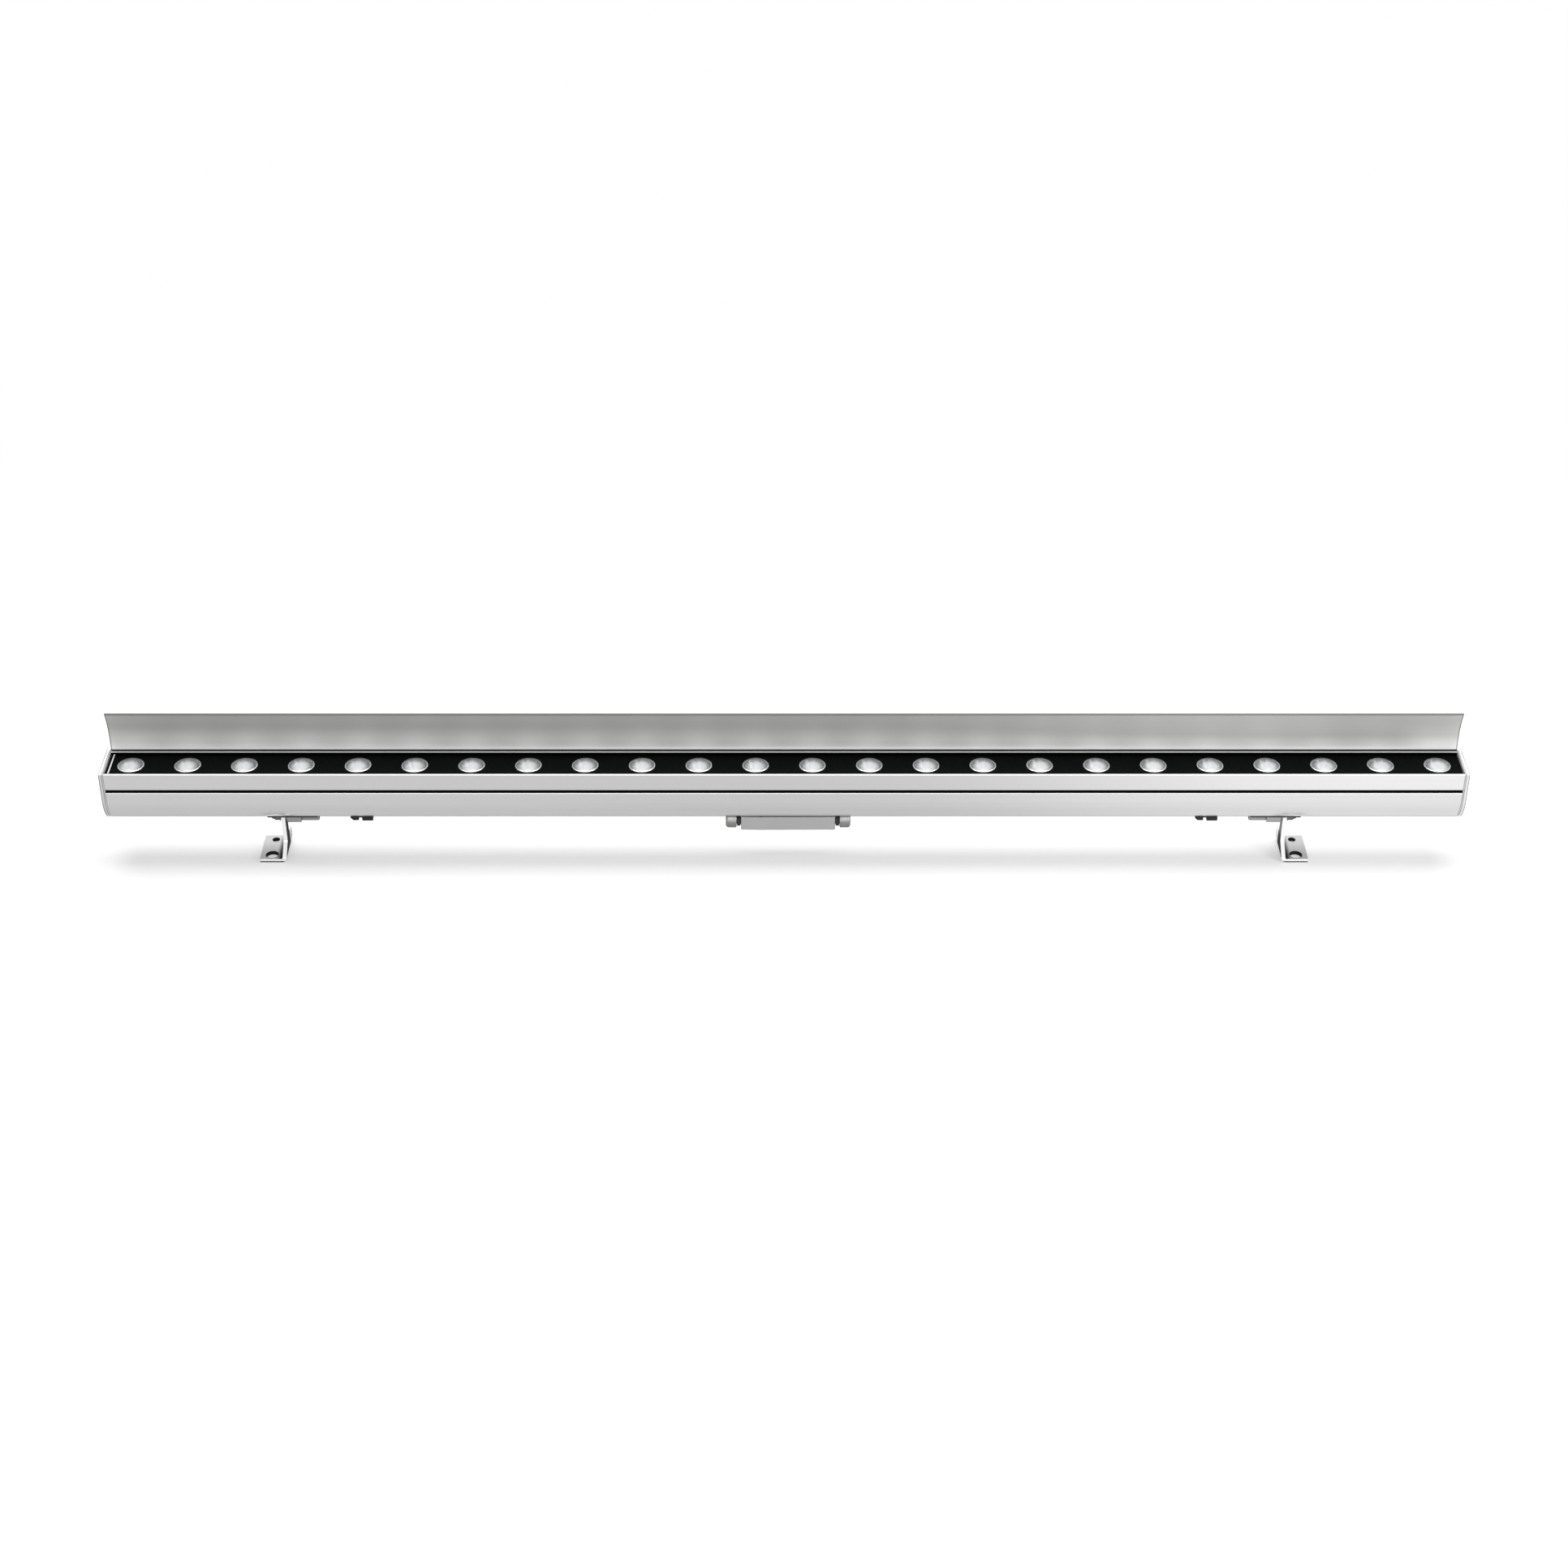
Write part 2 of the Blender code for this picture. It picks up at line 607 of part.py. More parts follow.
def shoe_screw_spots(side):
    """X and Y of the two screws of one pivot shoe: outer one in front, inner one behind."""
    return [(side * (BRACKET_X + SHOE_SCREW_OUT), -UNDER_SCREW_Y),
            (side * (BRACKET_X - SHOE_SCREW_IN), UNDER_SCREW_Y)]


def box_screw_spots():
    """X and Y of the two screws of the wiring box, one in front and one behind."""
    reach = BOX_LENGTH / 2 - BOX_SCREW_X
    return [(BOX_X + end * reach, end * UNDER_SCREW_Y) for end in (-1, 1)]


def clip_screw_spot(side):
    """X and Y of the screw of one cable clip; both clips point the same way."""
    return side * CLIP_X + (CLIP_LENGTH - CLIP_BLOCK) / 2, -UNDER_SCREW_Y


def driver_half_width():
    """Half the width of the driver board, which fits between the flanks where it lies."""
    return flank(1, WALL, DRIVER_BOTTOM)[-1][0] - DRIVER_SIDE


def set_screw_xs():
    """X of each set screw that clamps the visor."""
    first = SET_SCREW_INSET - LENGTH / 2
    pitch = -2 * first / (SET_SCREW_COUNT - 1)
    return [first + index * pitch for index in range(SET_SCREW_COUNT)]


def lens_xs():
    """X of each lens."""
    middle = (LENS_COUNT - 1) / 2
    return [(index - middle) * LENS_PITCH for index in range(LENS_COUNT)]


def led_lead_y():
    """Y of the hole in the shelf for the LED lead, between the boards and the rear wall."""
    return (TRAY_MIDDLE + BOARD_WIDTH / 2 + TRAY_REAR) / 2


def make_housing():
    """The extrusion, with every hole that its screws and wires need."""
    piece = along_x("housing", [body_outline(), cavity_outline()], -HOUSING_END, HOUSING_END)
    holes = []
    for side in (-1, 1):
        for y, z in cap_screw_spots():
            holes.append(((side * HOUSING_END, y, z), (-side, 0, 0), HOLE_RADIUS,
                          CAP_SCREW_LENGTH, SCREW_SIDES))
    under = box_screw_spots()
    for side in (-1, 1):
        under += shoe_screw_spots(side) + [clip_screw_spot(side)]
    for x, y in under:
        holes.append(((x, y, BODY_LIFT), (0, 0, 1), HOLE_RADIUS, SCREW_BITE + GAP, SCREW_SIDES))
    holes.append(((BOX_X, 0, BODY_LIFT), (0, 0, 1), LEAD_HOLE, WALL + OVERRUN, PIVOT_SIDES))
    holes.append(((0, led_lead_y(), SHELF_TOP), (0, 0, -1), LED_LEAD_RADIUS + GAP,
                  SHELF + OVERRUN, GLAND_SIDES))
    for x in set_screw_xs():
        holes.append(((x, HALF, (SLOT_BOTTOM + BODY_TOP) / 2), (0, -1, 0), HOLE_RADIUS,
                      LIP + OVERRUN, SCREW_SIDES))
    combine(piece, drills("housing_holes", holes))
    finish(piece, "anodised")


def make_ends():
    """End caps, their gaskets and their countersunk screws."""
    for side, word in ((-1, "left"), (1, "right")):
        face = side * LENGTH / 2
        inner = face - side * END_CAP
        cap = along_x("end_cap_" + word, [end_outline()], face, inner)
        places = [facing((side, 0, 0), (face, y, z)) for y, z in cap_screw_spots()]
        through = END_CAP + OVERRUN
        combine(cap, turned("end_cap_holes_" + word, sunk_hole_profile(through),
                            SCREW_SIDES, places))
        finish(cap, "anodised")
        holes = [circle(y, z, HOLE_RADIUS, SCREW_SIDES) for y, z in cap_screw_spots()]
        start = inner - side * GAP
        gasket = along_x("end_gasket_" + word, [end_outline()] + holes,
                         start, start - side * END_GASKET)
        finish(gasket, "black_rubber")
        screws("end_cap_screw_" + word, sunk_profile(CAP_SCREW_LENGTH), places)


def make_optics():
    """Lens plate on its seal, two moulded strips of lenses, and the strip at the plate's left end."""
    front = TRAY_FRONT + GAP
    rear = TRAY_REAR - GAP
    end = HOUSING_END - GAP
    holes = [circle(x, TRAY_MIDDLE, LENS_RADIUS + GAP, LENS_SIDES) for x in lens_xs()]
    plate = upright("lens_plate", [rectangle(-end, front, end, rear)] + holes,
                    PLATE_BOTTOM, PLATE_TOP)
    finish(plate, "black_plastic")
    room = rectangle(-end + LEDGE, TRAY_FRONT + LEDGE, end - LEDGE, TRAY_REAR - LEDGE)
    seal = upright("lens_plate_seal", [rectangle(-end, front, end, rear), room],
                   SEAL_BOTTOM, SEAL_BOTTOM + PLATE_SEAL)
    finish(seal, "black_rubber")
    flange_bottom = LENS_EDGE_TOP - LENS_FLANGE
    dome_shoulder = LENS_EDGE_TOP + LENS_DOME * DOME_SHARE
    profile = [(0, LENS_EDGE_TOP + LENS_DOME), (LENS_RADIUS * DOME_SHARE, dome_shoulder),
               (LENS_RADIUS, LENS_EDGE_TOP), (LENS_RADIUS, flange_bottom),
               (LENS_FOOT_RADIUS, LENS_BOTTOM), (0, LENS_BOTTOM)]
    web_top = PLATE_BOTTOM - GAP
    for side, word in ((-1, "left"), (1, "right")):
        near = side * GAP / 2
        far = side * (HOUSING_END - BOARD_END)
        edge = rectangle(min(near, far), TRAY_FRONT + LEDGE + GAP,
                         max(near, far), TRAY_REAR - LEDGE - GAP)
        strip = upright("lens_strip_" + word, [edge], web_top - LENS_WEB, web_top)
        places = [Matrix.Translation((x, TRAY_MIDDLE, 0)) for x in lens_xs() if x * side > 0]
        combine(strip, turned("lens_shapes_" + word, profile, LENS_SIDES, places), "UNION")
        finish(strip, "clear")
    stop_x = -LENGTH / 2 + STOP_INSET
    stop_bottom = PLATE_TOP + GAP
    stop = blocks("end_stop_strip", [
        ((stop_x - STOP_WIDTH / 2, front + STOP_SIDE, stop_bottom),
         (stop_x + STOP_WIDTH / 2, rear - STOP_SIDE, stop_bottom + STOP_HEIGHT))])
    finish(stop, "anodised")


def make_led_boards():
    """Two metal core boards bonded to the shelf, each with a chip under each of its lenses."""
    bottom = SHELF_TOP + GAP
    low_y = TRAY_MIDDLE - BOARD_WIDTH / 2
    high_y = TRAY_MIDDLE + BOARD_WIDTH / 2
    for side, word in ((-1, "left"), (1, "right")):
        near = side * GAP / 2
        far = side * (HOUSING_END - BOARD_END)
        board = upright("led_board_" + word,
                        [rectangle(min(near, far), low_y, max(near, far), high_y)],
                        bottom, BOARD_TOP)
        chips = []
        for x in lens_xs():
            if x * side > 0:
                low = (x - CHIP / 2, TRAY_MIDDLE - CHIP / 2, BOARD_TOP - BOARD / 2)
                chips.append((low, (x + CHIP / 2, TRAY_MIDDLE + CHIP / 2, CHIP_TOP)))
        combine(board, blocks("led_chips_" + word, chips), "UNION")
        finish(board, "board_white")


def visor_side(offset):
    """One face of the visor sheet, from its upper edge down; offset is from the sheet's middle."""
    middle = SLOT_FRONT + GAP + VISOR / 2
    bend = BODY_TOP + VISOR_RISE * VISOR_UPRIGHT_SHARE
    rise = BODY_TOP + VISOR_RISE - bend
    radius = (rise ** 2 + VISOR_LEAN ** 2) / (2 * VISOR_LEAN)
    last = math.asin(rise / radius)
    points = []
    for step in range(VISOR_STEPS + 1):
        angle = last * (1 - step / VISOR_STEPS)
        out = radius + offset
        points.append((middle - radius + out * math.cos(angle), bend + out * math.sin(angle)))
    points.append((middle + offset, SLOT_BOTTOM + GAP))
    return points


def make_visor():
    """Curved glare shield in its slot, and the set screws behind it."""
    outline = visor_side(VISOR / 2) + list(reversed(visor_side(-VISOR / 2)))
    visor = along_x("visor", [outline], -HOUSING_END, HOUSING_END)
    finish(visor, "visor_grey")
    length = LIP + SLOT - VISOR - 2 * GAP
    profile = [(0, -SOCKET_DEPTH), (SOCKET_RADIUS, -SOCKET_DEPTH), (SOCKET_RADIUS, 0),
               (SCREW_RADIUS, 0), (SCREW_RADIUS, -length), (0, -length)]
    height = (SLOT_BOTTOM + BODY_TOP) / 2
    places = [facing((0, 1, 0), (x, HALF, height)) for x in set_screw_xs()]
    screws("visor_set_screw", profile, places)


def make_driver():
    """Driver board on the floor ribs, its thermal pad, its transformer and its capacitor."""
    half = driver_half_width()
    end = DRIVER_START + DRIVER_LENGTH
    board = upright("driver_board", [rectangle(DRIVER_START, -half, end, half)],
                    DRIVER_BOTTOM, DRIVER_TOP)
    finish(board, "board_green")
    pad = blocks("driver_pad", [
        ((DRIVER_START + PAD_END, -RIB_INNER + GAP, FLOOR_TOP + GAP),
         (end - PAD_END, RIB_INNER - GAP, DRIVER_BOTTOM - GAP))])
    finish(pad, "component_grey")
    seat = DRIVER_TOP + GAP
    roof = SHELF_BOTTOM - HEADROOM
    core_x = DRIVER_START + TRANSFORMER_X
    wide = half - TRANSFORMER_SIDE
    core = blocks("driver_transformer", [((core_x - TRANSFORMER_LENGTH / 2, -wide, seat),
                                          (core_x + TRANSFORMER_LENGTH / 2, wide, roof))])
    reach = (TRANSFORMER_LENGTH - TRANSFORMER_CORE) / 2
    windows = []
    for side in (-1, 1):
        face = side * wide
        low = (core_x - reach, face - TRANSFORMER_WINDOW, seat + TRANSFORMER_WINDOW)
        high = (core_x + reach, face + TRANSFORMER_WINDOW, roof - TRANSFORMER_WINDOW)
        windows.append((low, high))
    combine(core, blocks("transformer_windows", windows))
    finish(core, "black_plastic")
    profile = [(0, roof), (CAPACITOR_RADIUS, roof), (CAPACITOR_RADIUS, seat), (0, seat)]
    place = Matrix.Translation((DRIVER_START + CAPACITOR_X, 0, 0))
    finish(turned("driver_capacitor", profile, PIVOT_SIDES, [place]), "component_grey")


def smooth_route(points, steps=3):
    """Points along a smooth curve through the given ones."""
    spots = [Vector(point) for point in points]
    padded = [2 * spots[0] - spots[1]] + spots + [2 * spots[-1] - spots[-2]]
    route = []
    for index in range(1, len(padded) - 2):
        before, start, end, after = padded[index - 1:index + 3]
        for step in range(steps):
            share = step / steps
            bend = (2 * start + (end - before) * share
                    + (2 * before - 5 * start + 4 * end - after) * share ** 2
                    + (3 * start - before - 3 * end + after) * share ** 3)
            route.append(bend / 2)
    route.append(spots[-1])
    return route


def wire(name, route, radius):
    """One round lead along a route."""
    curve = bpy.data.curves.new(name, "CURVE")
    curve.dimensions = "3D"
    curve.bevel_depth = radius
    curve.bevel_resolution = LEAD_SIDE_STEPS
    curve.use_fill_caps = True
    points = smooth_route(route)
    spline = curve.splines.new("POLY")
    spline.points.add(len(points) - 1)
    for point, spot in zip(spline.points, points):
        point.co = (*spot, 1)
    piece = bpy.data.objects.new(name, curve)
    PARTS.objects.link(piece)
    return piece


def make_leads():
    """Supply lead from the terminal block to the driver, and LED lead from there to a board."""
    block_top = BOX_BOTTOM + BOX_FLOOR + GAP + TERMINAL[2]
    board_seat = DRIVER_TOP + GAP
    landing = DRIVER_START + LEAD_RADIUS
    middle = (BOX_X + landing) / 2
    crest = (board_seat + SHELF_BOTTOM) / 2
    route = [(BOX_X, 0, block_top + GAP), (BOX_X, 0, BODY_LIFT),
             (BOX_X, 0, FLOOR_TOP + GROMMET_FLANGE + 2 * GAP), (BOX_X, 0, board_seat),
             (middle, 0, crest), (landing, 0, board_seat + 2 * LEAD_RADIUS),
             (landing, 0, board_seat + LEAD_RADIUS), (landing, 0, board_seat)]
    finish(wire("supply_lead", route, LEAD_RADIUS), "black_rubber")
    start_x = DRIVER_START + LED_LEAD_X
    start_y = driver_half_width() - LED_LEAD_INSET
    hole_y = led_lead_y()
    pad_seat = BOARD_TOP + GAP
    solder_x = SOLDER_INSET
    solder_y = TRAY_MIDDLE + BOARD_WIDTH / 2 - SOLDER_INSET
    route = [(start_x, start_y, board_seat), (start_x, start_y, board_seat + LED_LEAD_RADIUS),
             (start_x, start_y, board_seat + LED_LEAD_BEND),
             (start_x / 2, (start_y + hole_y) / 2, SHELF_BOTTOM - LED_LEAD_BEND),
             (0, hole_y, SHELF_BOTTOM - LED_LEAD_BEND / 2), (0, hole_y, SHELF_BOTTOM),
             (0, hole_y, SHELF_TOP), (0, hole_y, pad_seat + LED_LEAD_RADIUS),
             (solder_x / 2, (hole_y + solder_y) / 2, pad_seat + LED_LEAD_BEND),
             (solder_x, solder_y, pad_seat + 2 * LED_LEAD_RADIUS),
             (solder_x, solder_y, pad_seat + LED_LEAD_RADIUS), (solder_x, solder_y, pad_seat)]
    finish(wire("led_lead", route, LED_LEAD_RADIUS), "black_rubber")
    bore = LEAD_RADIUS + GAP
    outer = bore + GROMMET_WALL
    flange = FLOOR_TOP + GAP
    wide = LEAD_HOLE + GROMMET_FLANGE_WIDTH
    profile = [(bore, flange + GROMMET_FLANGE), (wide, flange + GROMMET_FLANGE),
               (wide, flange), (outer, flange), (outer, BODY_LIFT), (bore, BODY_LIFT)]
    finish(turned("lead_grommet", profile, PIVOT_SIDES, [Matrix.Translation((BOX_X, 0, 0))],
                  closed=True), "black_rubber")


def box_room():
    """Outline inside the wiring box: its room, with a screw post left on each long wall."""
    x = BOX_LENGTH / 2 - BOX_WALL
    y = BOX_DEPTH / 2 - BOX_WALL
    outer = BOX_LENGTH / 2 - BOX_SCREW_X + POST_LENGTH / 2
    inner = outer - POST_LENGTH
    half = [(x, -y), (x, y), (outer, y), (outer, y - POST_DEPTH), (inner, y - POST_DEPTH),
            (inner, y)]
    outline = half + [(-a, -b) for a, b in half]
    return [(BOX_X + a, b) for a, b in outline]


def box_edge():
    """Outer outline of the wiring box."""
    corners = rectangle(BOX_X - BOX_LENGTH / 2, -BOX_DEPTH / 2,
                        BOX_X + BOX_LENGTH / 2, BOX_DEPTH / 2)
    return rounded([(x, y, BOX_CORNER) for x, y in corners])


def make_wiring_box():
    """Box, gasket, screws and terminal block."""
    box = upright("wiring_box", [box_edge()], BOX_BOTTOM, BOX_TOP)
    combine(box, upright("wiring_box_room", [box_room()], BOX_BOTTOM + BOX_FLOOR,
                         BOX_TOP + OVERRUN))
    ends = []
    for side in (-1, 1):
        ends.append(((BOX_X + side * BOX_LENGTH / 2, GLAND_Y, GLAND_Z), (-side, 0, 0),
                     GLAND_THREAD + GAP, BOX_WALL + OVERRUN, GLAND_SIDES))
    combine(box, drills("wiring_box_gland_holes", ends))
    places = [facing((0, 0, -1), (x, y, BOX_BOTTOM)) for x, y in box_screw_spots()]
    combine(box, turned("wiring_box_screw_holes", sunk_hole_profile(BOX_HEIGHT + OVERRUN),
                        SCREW_SIDES, places))
    finish(box, "anodised")
    holes = [circle(x, y, HOLE_RADIUS, SCREW_SIDES) for x, y in box_screw_spots()]
    gasket = upright("wiring_box_gasket", [box_edge(), box_room()] + holes,
                     BOX_TOP + GAP, BODY_LIFT - GAP)
    finish(gasket, "black_rubber")
    length = BODY_LIFT - BOX_BOTTOM + SCREW_BITE
    screws("wiring_box_screw", sunk_profile(length), places)
    long, wide, tall = TERMINAL
    seat = BOX_BOTTOM + BOX_FLOOR + GAP
    block = blocks("terminal_block", [
        ((BOX_X - long / 2, -wide / 2, seat), (BOX_X + long / 2, wide / 2, seat + tall))])
    pole_y = POLE_RADIUS + GAP - wide / 2
    poles = [((BOX_X + order * POLE_PITCH, pole_y, seat + tall), (0, 0, -1), POLE_RADIUS,
              POLE_DEPTH, SCREW_SIDES) for order in (-1, 0, 1)]
    combine(block, drills("terminal_poles", poles))
    finish(block, "ceramic")


def make_glands():
    """Gland body, seal and nut at each end of the wiring box, open for a cable."""
    flange_top = GAP + GLAND_FLANGE
    neck_top = flange_top + GLAND_NECK
    nut_start = flange_top + GAP
    nut_end = nut_start + GLAND_NUT
    shoulder = nut_end - GLAND_NUT_END
    body = [(GLAND_BORE, neck_top), (GLAND_THREAD, neck_top), (GLAND_THREAD, flange_top),
            (GLAND_FLANGE_RADIUS, flange_top), (GLAND_FLANGE_RADIUS, GAP),
            (GLAND_THREAD, GAP), (GLAND_THREAD, -BOX_WALL - GLAND_INSIDE),
            (GLAND_BORE, -BOX_WALL - GLAND_INSIDE)]
    nut_room = GLAND_THREAD + GAP
    nut = [(GLAND_BORE, nut_end), (GLAND_NUT_RADIUS - GLAND_NUT_CHAMFER, nut_end),
           (GLAND_NUT_RADIUS, nut_end - GLAND_NUT_CHAMFER), (GLAND_NUT_RADIUS, nut_start),
           (nut_room, nut_start), (nut_room, shoulder), (GLAND_BORE, shoulder)]
    seal = ring_profile(GLAND_BORE, GLAND_THREAD, neck_top + GAP, shoulder - GAP)
    for side, word in ((-1, "left"), (1, "right")):
        place = [facing((side, 0, 0), (BOX_X + side * BOX_LENGTH / 2, GLAND_Y, GLAND_Z))]
        finish(turned("gland_body_" + word, body, GLAND_SIDES, place, closed=True),
               "black_plastic")
        finish(turned("gland_seal_" + word, seal, GLAND_SIDES, place, closed=True),
               "black_rubber")
        finish(turned("gland_nut_" + word, nut, GLAND_SIDES, place, closed=True), "zinc")


def make_shoe(side, word):
    """Pivot shoe: a plate under the body with one lug for the tilt bolt, and its screws."""
    inner = BRACKET_X - SHOE_INNER
    outer = BRACKET_X + SHOE_OUTER
    corners = rectangle(inner, -SHOE_DEPTH / 2, outer, SHOE_DEPTH / 2)
    edge = mirrored_outline(rounded([(x, y, SHOE_CORNER) for x, y in corners]), side)
    holes = [circle(x, y, HOLE_RADIUS, SCREW_SIDES) for x, y in shoe_screw_spots(side)]
    shoe = upright("pivot_shoe_" + word, [edge] + holes, SHOE_BOTTOM, SHOE_BOTTOM + SHOE)
    lug_edge = rounded([(-ARM_RADIUS, SHOE_BOTTOM + SHOE / 2, 0),
                        (ARM_RADIUS, SHOE_BOTTOM + SHOE / 2, 0),
                        (ARM_RADIUS, PIVOT_Z - LUG_BELOW, LUG_ROUND),
                        (-ARM_RADIUS, PIVOT_Z - LUG_BELOW, LUG_ROUND)])
    bore = circle(0, PIVOT_Z, BOLT_RADIUS + GAP, PIVOT_SIDES)
    lug = along_x("shoe_lug_" + word, [lug_edge, bore], side * LUG_OUTER, side * LUG_INNER)
    combine(shoe, lug, "UNION")
    finish(shoe, "anodised")
    places = [facing((0, 0, -1), (x, y, SHOE_BOTTOM - GAP)) for x, y in shoe_screw_spots(side)]
    length = SHOE + 2 * GAP + SCREW_BITE
    screws("shoe_screw_" + word, pan_profile(length), places)


def make_bracket(side, word, carrier):
    """Foot bent from sheet: a flat base with two holes and a flared arm up to the pivot."""
    inner = BRACKET_X
    outer = BRACKET_X + FOOT_WIDTH
    arm = BRACKET_X + SHEET
    top = PIVOT_Z + ARM_RADIUS + OVERRUN
    bent = rounded([(inner, 0, BEND_RADIUS), (outer, 0, 0), (outer, SHEET, 0),
                    (arm, SHEET, BEND_RADIUS - SHEET), (arm, top, 0), (inner, top, 0)])
    half = FOOT_DEPTH / 2
    bracket = along_y("bracket_" + word, [mirrored_outline(bent, side)],
                      -half - OVERRUN, half + OVERRUN)
    crown = []
    for step in range(PIVOT_SIDES // 2 + 1):
        turn = math.pi * step * 2 / PIVOT_SIDES
        crown.append((ARM_RADIUS * math.cos(turn), PIVOT_Z + ARM_RADIUS * math.sin(turn)))
    silhouette = [(-half, -OVERRUN, 0), (half, -OVERRUN, 0), (half, SHOULDER, NECK_ROUND / 2),
                  (ARM_RADIUS, NECK_REAR, NECK_ROUND)]
    silhouette += plain(crown)
    silhouette += [(-ARM_RADIUS, NECK_FRONT, NECK_ROUND), (-half, SHEET, 0)]
    shape = along_x("bracket_shape_" + word, [rounded(silhouette)],
                    side * (inner - OVERRUN), side * (outer + OVERRUN))
    combine(bracket, shape, "INTERSECT")
    hole_x = side * (inner + FOOT_HOLE_X)
    holes = [((hole_x, -FOOT_HOLE_Y, SHEET), (0, 0, -1), BIG_HOLE_RADIUS, SHEET + OVERRUN,
              PIVOT_SIDES),
             ((hole_x, FOOT_HOLE_Y, SHEET), (0, 0, -1), SMALL_HOLE_RADIUS, SHEET + OVERRUN,
              PIVOT_SIDES),
             ((side * inner, 0, PIVOT_Z), (side, 0, 0), BOLT_RADIUS + GAP, SHEET + OVERRUN,
              PIVOT_SIDES)]
    combine(bracket, drills("bracket_holes_" + word, holes))
    finish(bracket, "stainless", carrier)


def make_pivot(side, word):
    """Tilt bolt with a flanged head outside the arm, washer inside it, and a long nut."""
    axis = (side, 0, 0)
    seat = BRACKET_X + SHEET + GAP
    tip = LUG_INNER - GAP - NUT + BOLT_RECESS
    head = WASHER + BOLT_HEAD
    profile = [(0, head - BOLT_SOCKET), (BOLT_SOCKET_RADIUS, head - BOLT_SOCKET),
               (BOLT_SOCKET_RADIUS, head), (BOLT_HEAD_RADIUS, head), (BOLT_HEAD_RADIUS, WASHER),
               (WASHER_RADIUS, WASHER), (WASHER_RADIUS, 0), (BOLT_RADIUS, 0),
               (BOLT_RADIUS, tip - seat), (0, tip - seat)]
    bolt = turned("pivot_bolt_" + word, profile, PIVOT_SIDES,
                  [facing(axis, (side * seat, 0, PIVOT_Z))])
    finish(bolt, "stainless")
    bore = BOLT_RADIUS + GAP
    place = [facing(axis, (side * (LUG_OUTER + GAP), 0, PIVOT_Z))]
    finish(turned("pivot_washer_" + word, ring_profile(bore, WASHER_RADIUS, 0, WASHER),
                  PIVOT_SIDES, place, closed=True), "zinc")
    nut = [(bore, 0), (NUT_RADIUS - NUT_CHAMFER, 0), (NUT_RADIUS, -NUT_CHAMFER),
           (NUT_RADIUS, NUT_CHAMFER - NUT), (NUT_RADIUS - NUT_CHAMFER, -NUT), (bore, -NUT)]
    place = [facing(axis, (side * (LUG_INNER - GAP), 0, PIVOT_Z))]
    finish(turned("pivot_nut_" + word, nut, NUT_SIDES, place, closed=True), "stainless")


def make_clip(side, word):
    """Cable clip under the body: a block with a screw, a mouth and a slanted tongue."""
    left = side * CLIP_X - CLIP_LENGTH / 2
    right = left + CLIP_LENGTH
    block = right - CLIP_BLOCK
    mouth = block - CLIP_MOUTH
    top = BODY_LIFT - GAP
    tongue = top - CLIP_TONGUE_HEIGHT
    outline = [(left, top), (right, top), (right, top - CLIP_HEIGHT), (block, top - CLIP_HEIGHT),
               (block, top - CLIP_WEB), (mouth, top - CLIP_WEB), (mouth, tongue),
               (left + CLIP_SLANT, tongue), (left, tongue + CLIP_SLANT)]
    clip = along_y("cable_clip_" + word, [outline], -UNDER_SCREW_Y - CLIP_DEPTH / 2,
                   -UNDER_SCREW_Y + CLIP_DEPTH / 2)
    x, y = clip_screw_spot(side)
    place = [facing((0, 0, -1), (x, y, top - CLIP_HEIGHT))]
    combine(clip, turned("clip_hole_" + word, sunk_hole_profile(CLIP_HEIGHT + OVERRUN),
                         SCREW_SIDES, place))
    finish(clip, "anodised")
    length = CLIP_HEIGHT + GAP + SCREW_BITE
    screws("clip_screw_" + word, sunk_profile(length), place)


def build():
    """Every piece, from the body outwards."""
    make_housing()
    make_ends()
    make_optics()
    make_led_boards()
    make_visor()
    make_driver()
    make_leads()
    make_wiring_box()
    make_glands()
    for side, word, carrier in ((-1, "left", LEFT_FOOT), (1, "right", RIGHT_FOOT)):
        make_shoe(side, word)
        make_bracket(side, word, carrier)
        make_pivot(side, word)
        make_clip(side, word)


build()
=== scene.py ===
"""Linear floodlight on two tilting feet, dressed for its picture.

Metres, +Z up. X runs along the light and its front faces -Y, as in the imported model.
"""

import math

import bmesh
import bpy
from mathutils import Matrix, Vector


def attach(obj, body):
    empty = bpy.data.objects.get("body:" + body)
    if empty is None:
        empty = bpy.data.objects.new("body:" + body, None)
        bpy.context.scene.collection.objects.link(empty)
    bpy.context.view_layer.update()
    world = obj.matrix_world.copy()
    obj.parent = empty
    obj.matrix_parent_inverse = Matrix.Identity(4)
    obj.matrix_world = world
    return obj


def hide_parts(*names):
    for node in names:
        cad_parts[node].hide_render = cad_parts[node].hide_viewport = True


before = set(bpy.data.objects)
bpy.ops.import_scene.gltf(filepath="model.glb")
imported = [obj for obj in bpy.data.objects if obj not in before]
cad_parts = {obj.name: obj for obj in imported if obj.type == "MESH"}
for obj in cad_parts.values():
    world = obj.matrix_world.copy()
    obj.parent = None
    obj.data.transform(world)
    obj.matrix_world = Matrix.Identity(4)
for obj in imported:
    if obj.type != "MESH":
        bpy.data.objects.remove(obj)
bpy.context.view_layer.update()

# Camera: a long lens well back from the light, level with its length and looking down on its
# front, so that the black lens plate, the front face and the feet all show.
camera_data = bpy.data.cameras.new("camera")
camera_data.sensor_width = 36
camera_data.lens = 65.37
camera = bpy.data.objects.new("camera", camera_data)
camera.location = (0, -1.7491, 1.2218)
camera.rotation_euler = (math.radians(56.4), 0, 0)
bpy.context.scene.collection.objects.link(camera)
bpy.context.scene.camera = camera
bpy.context.scene.view_settings.view_transform = "Standard"


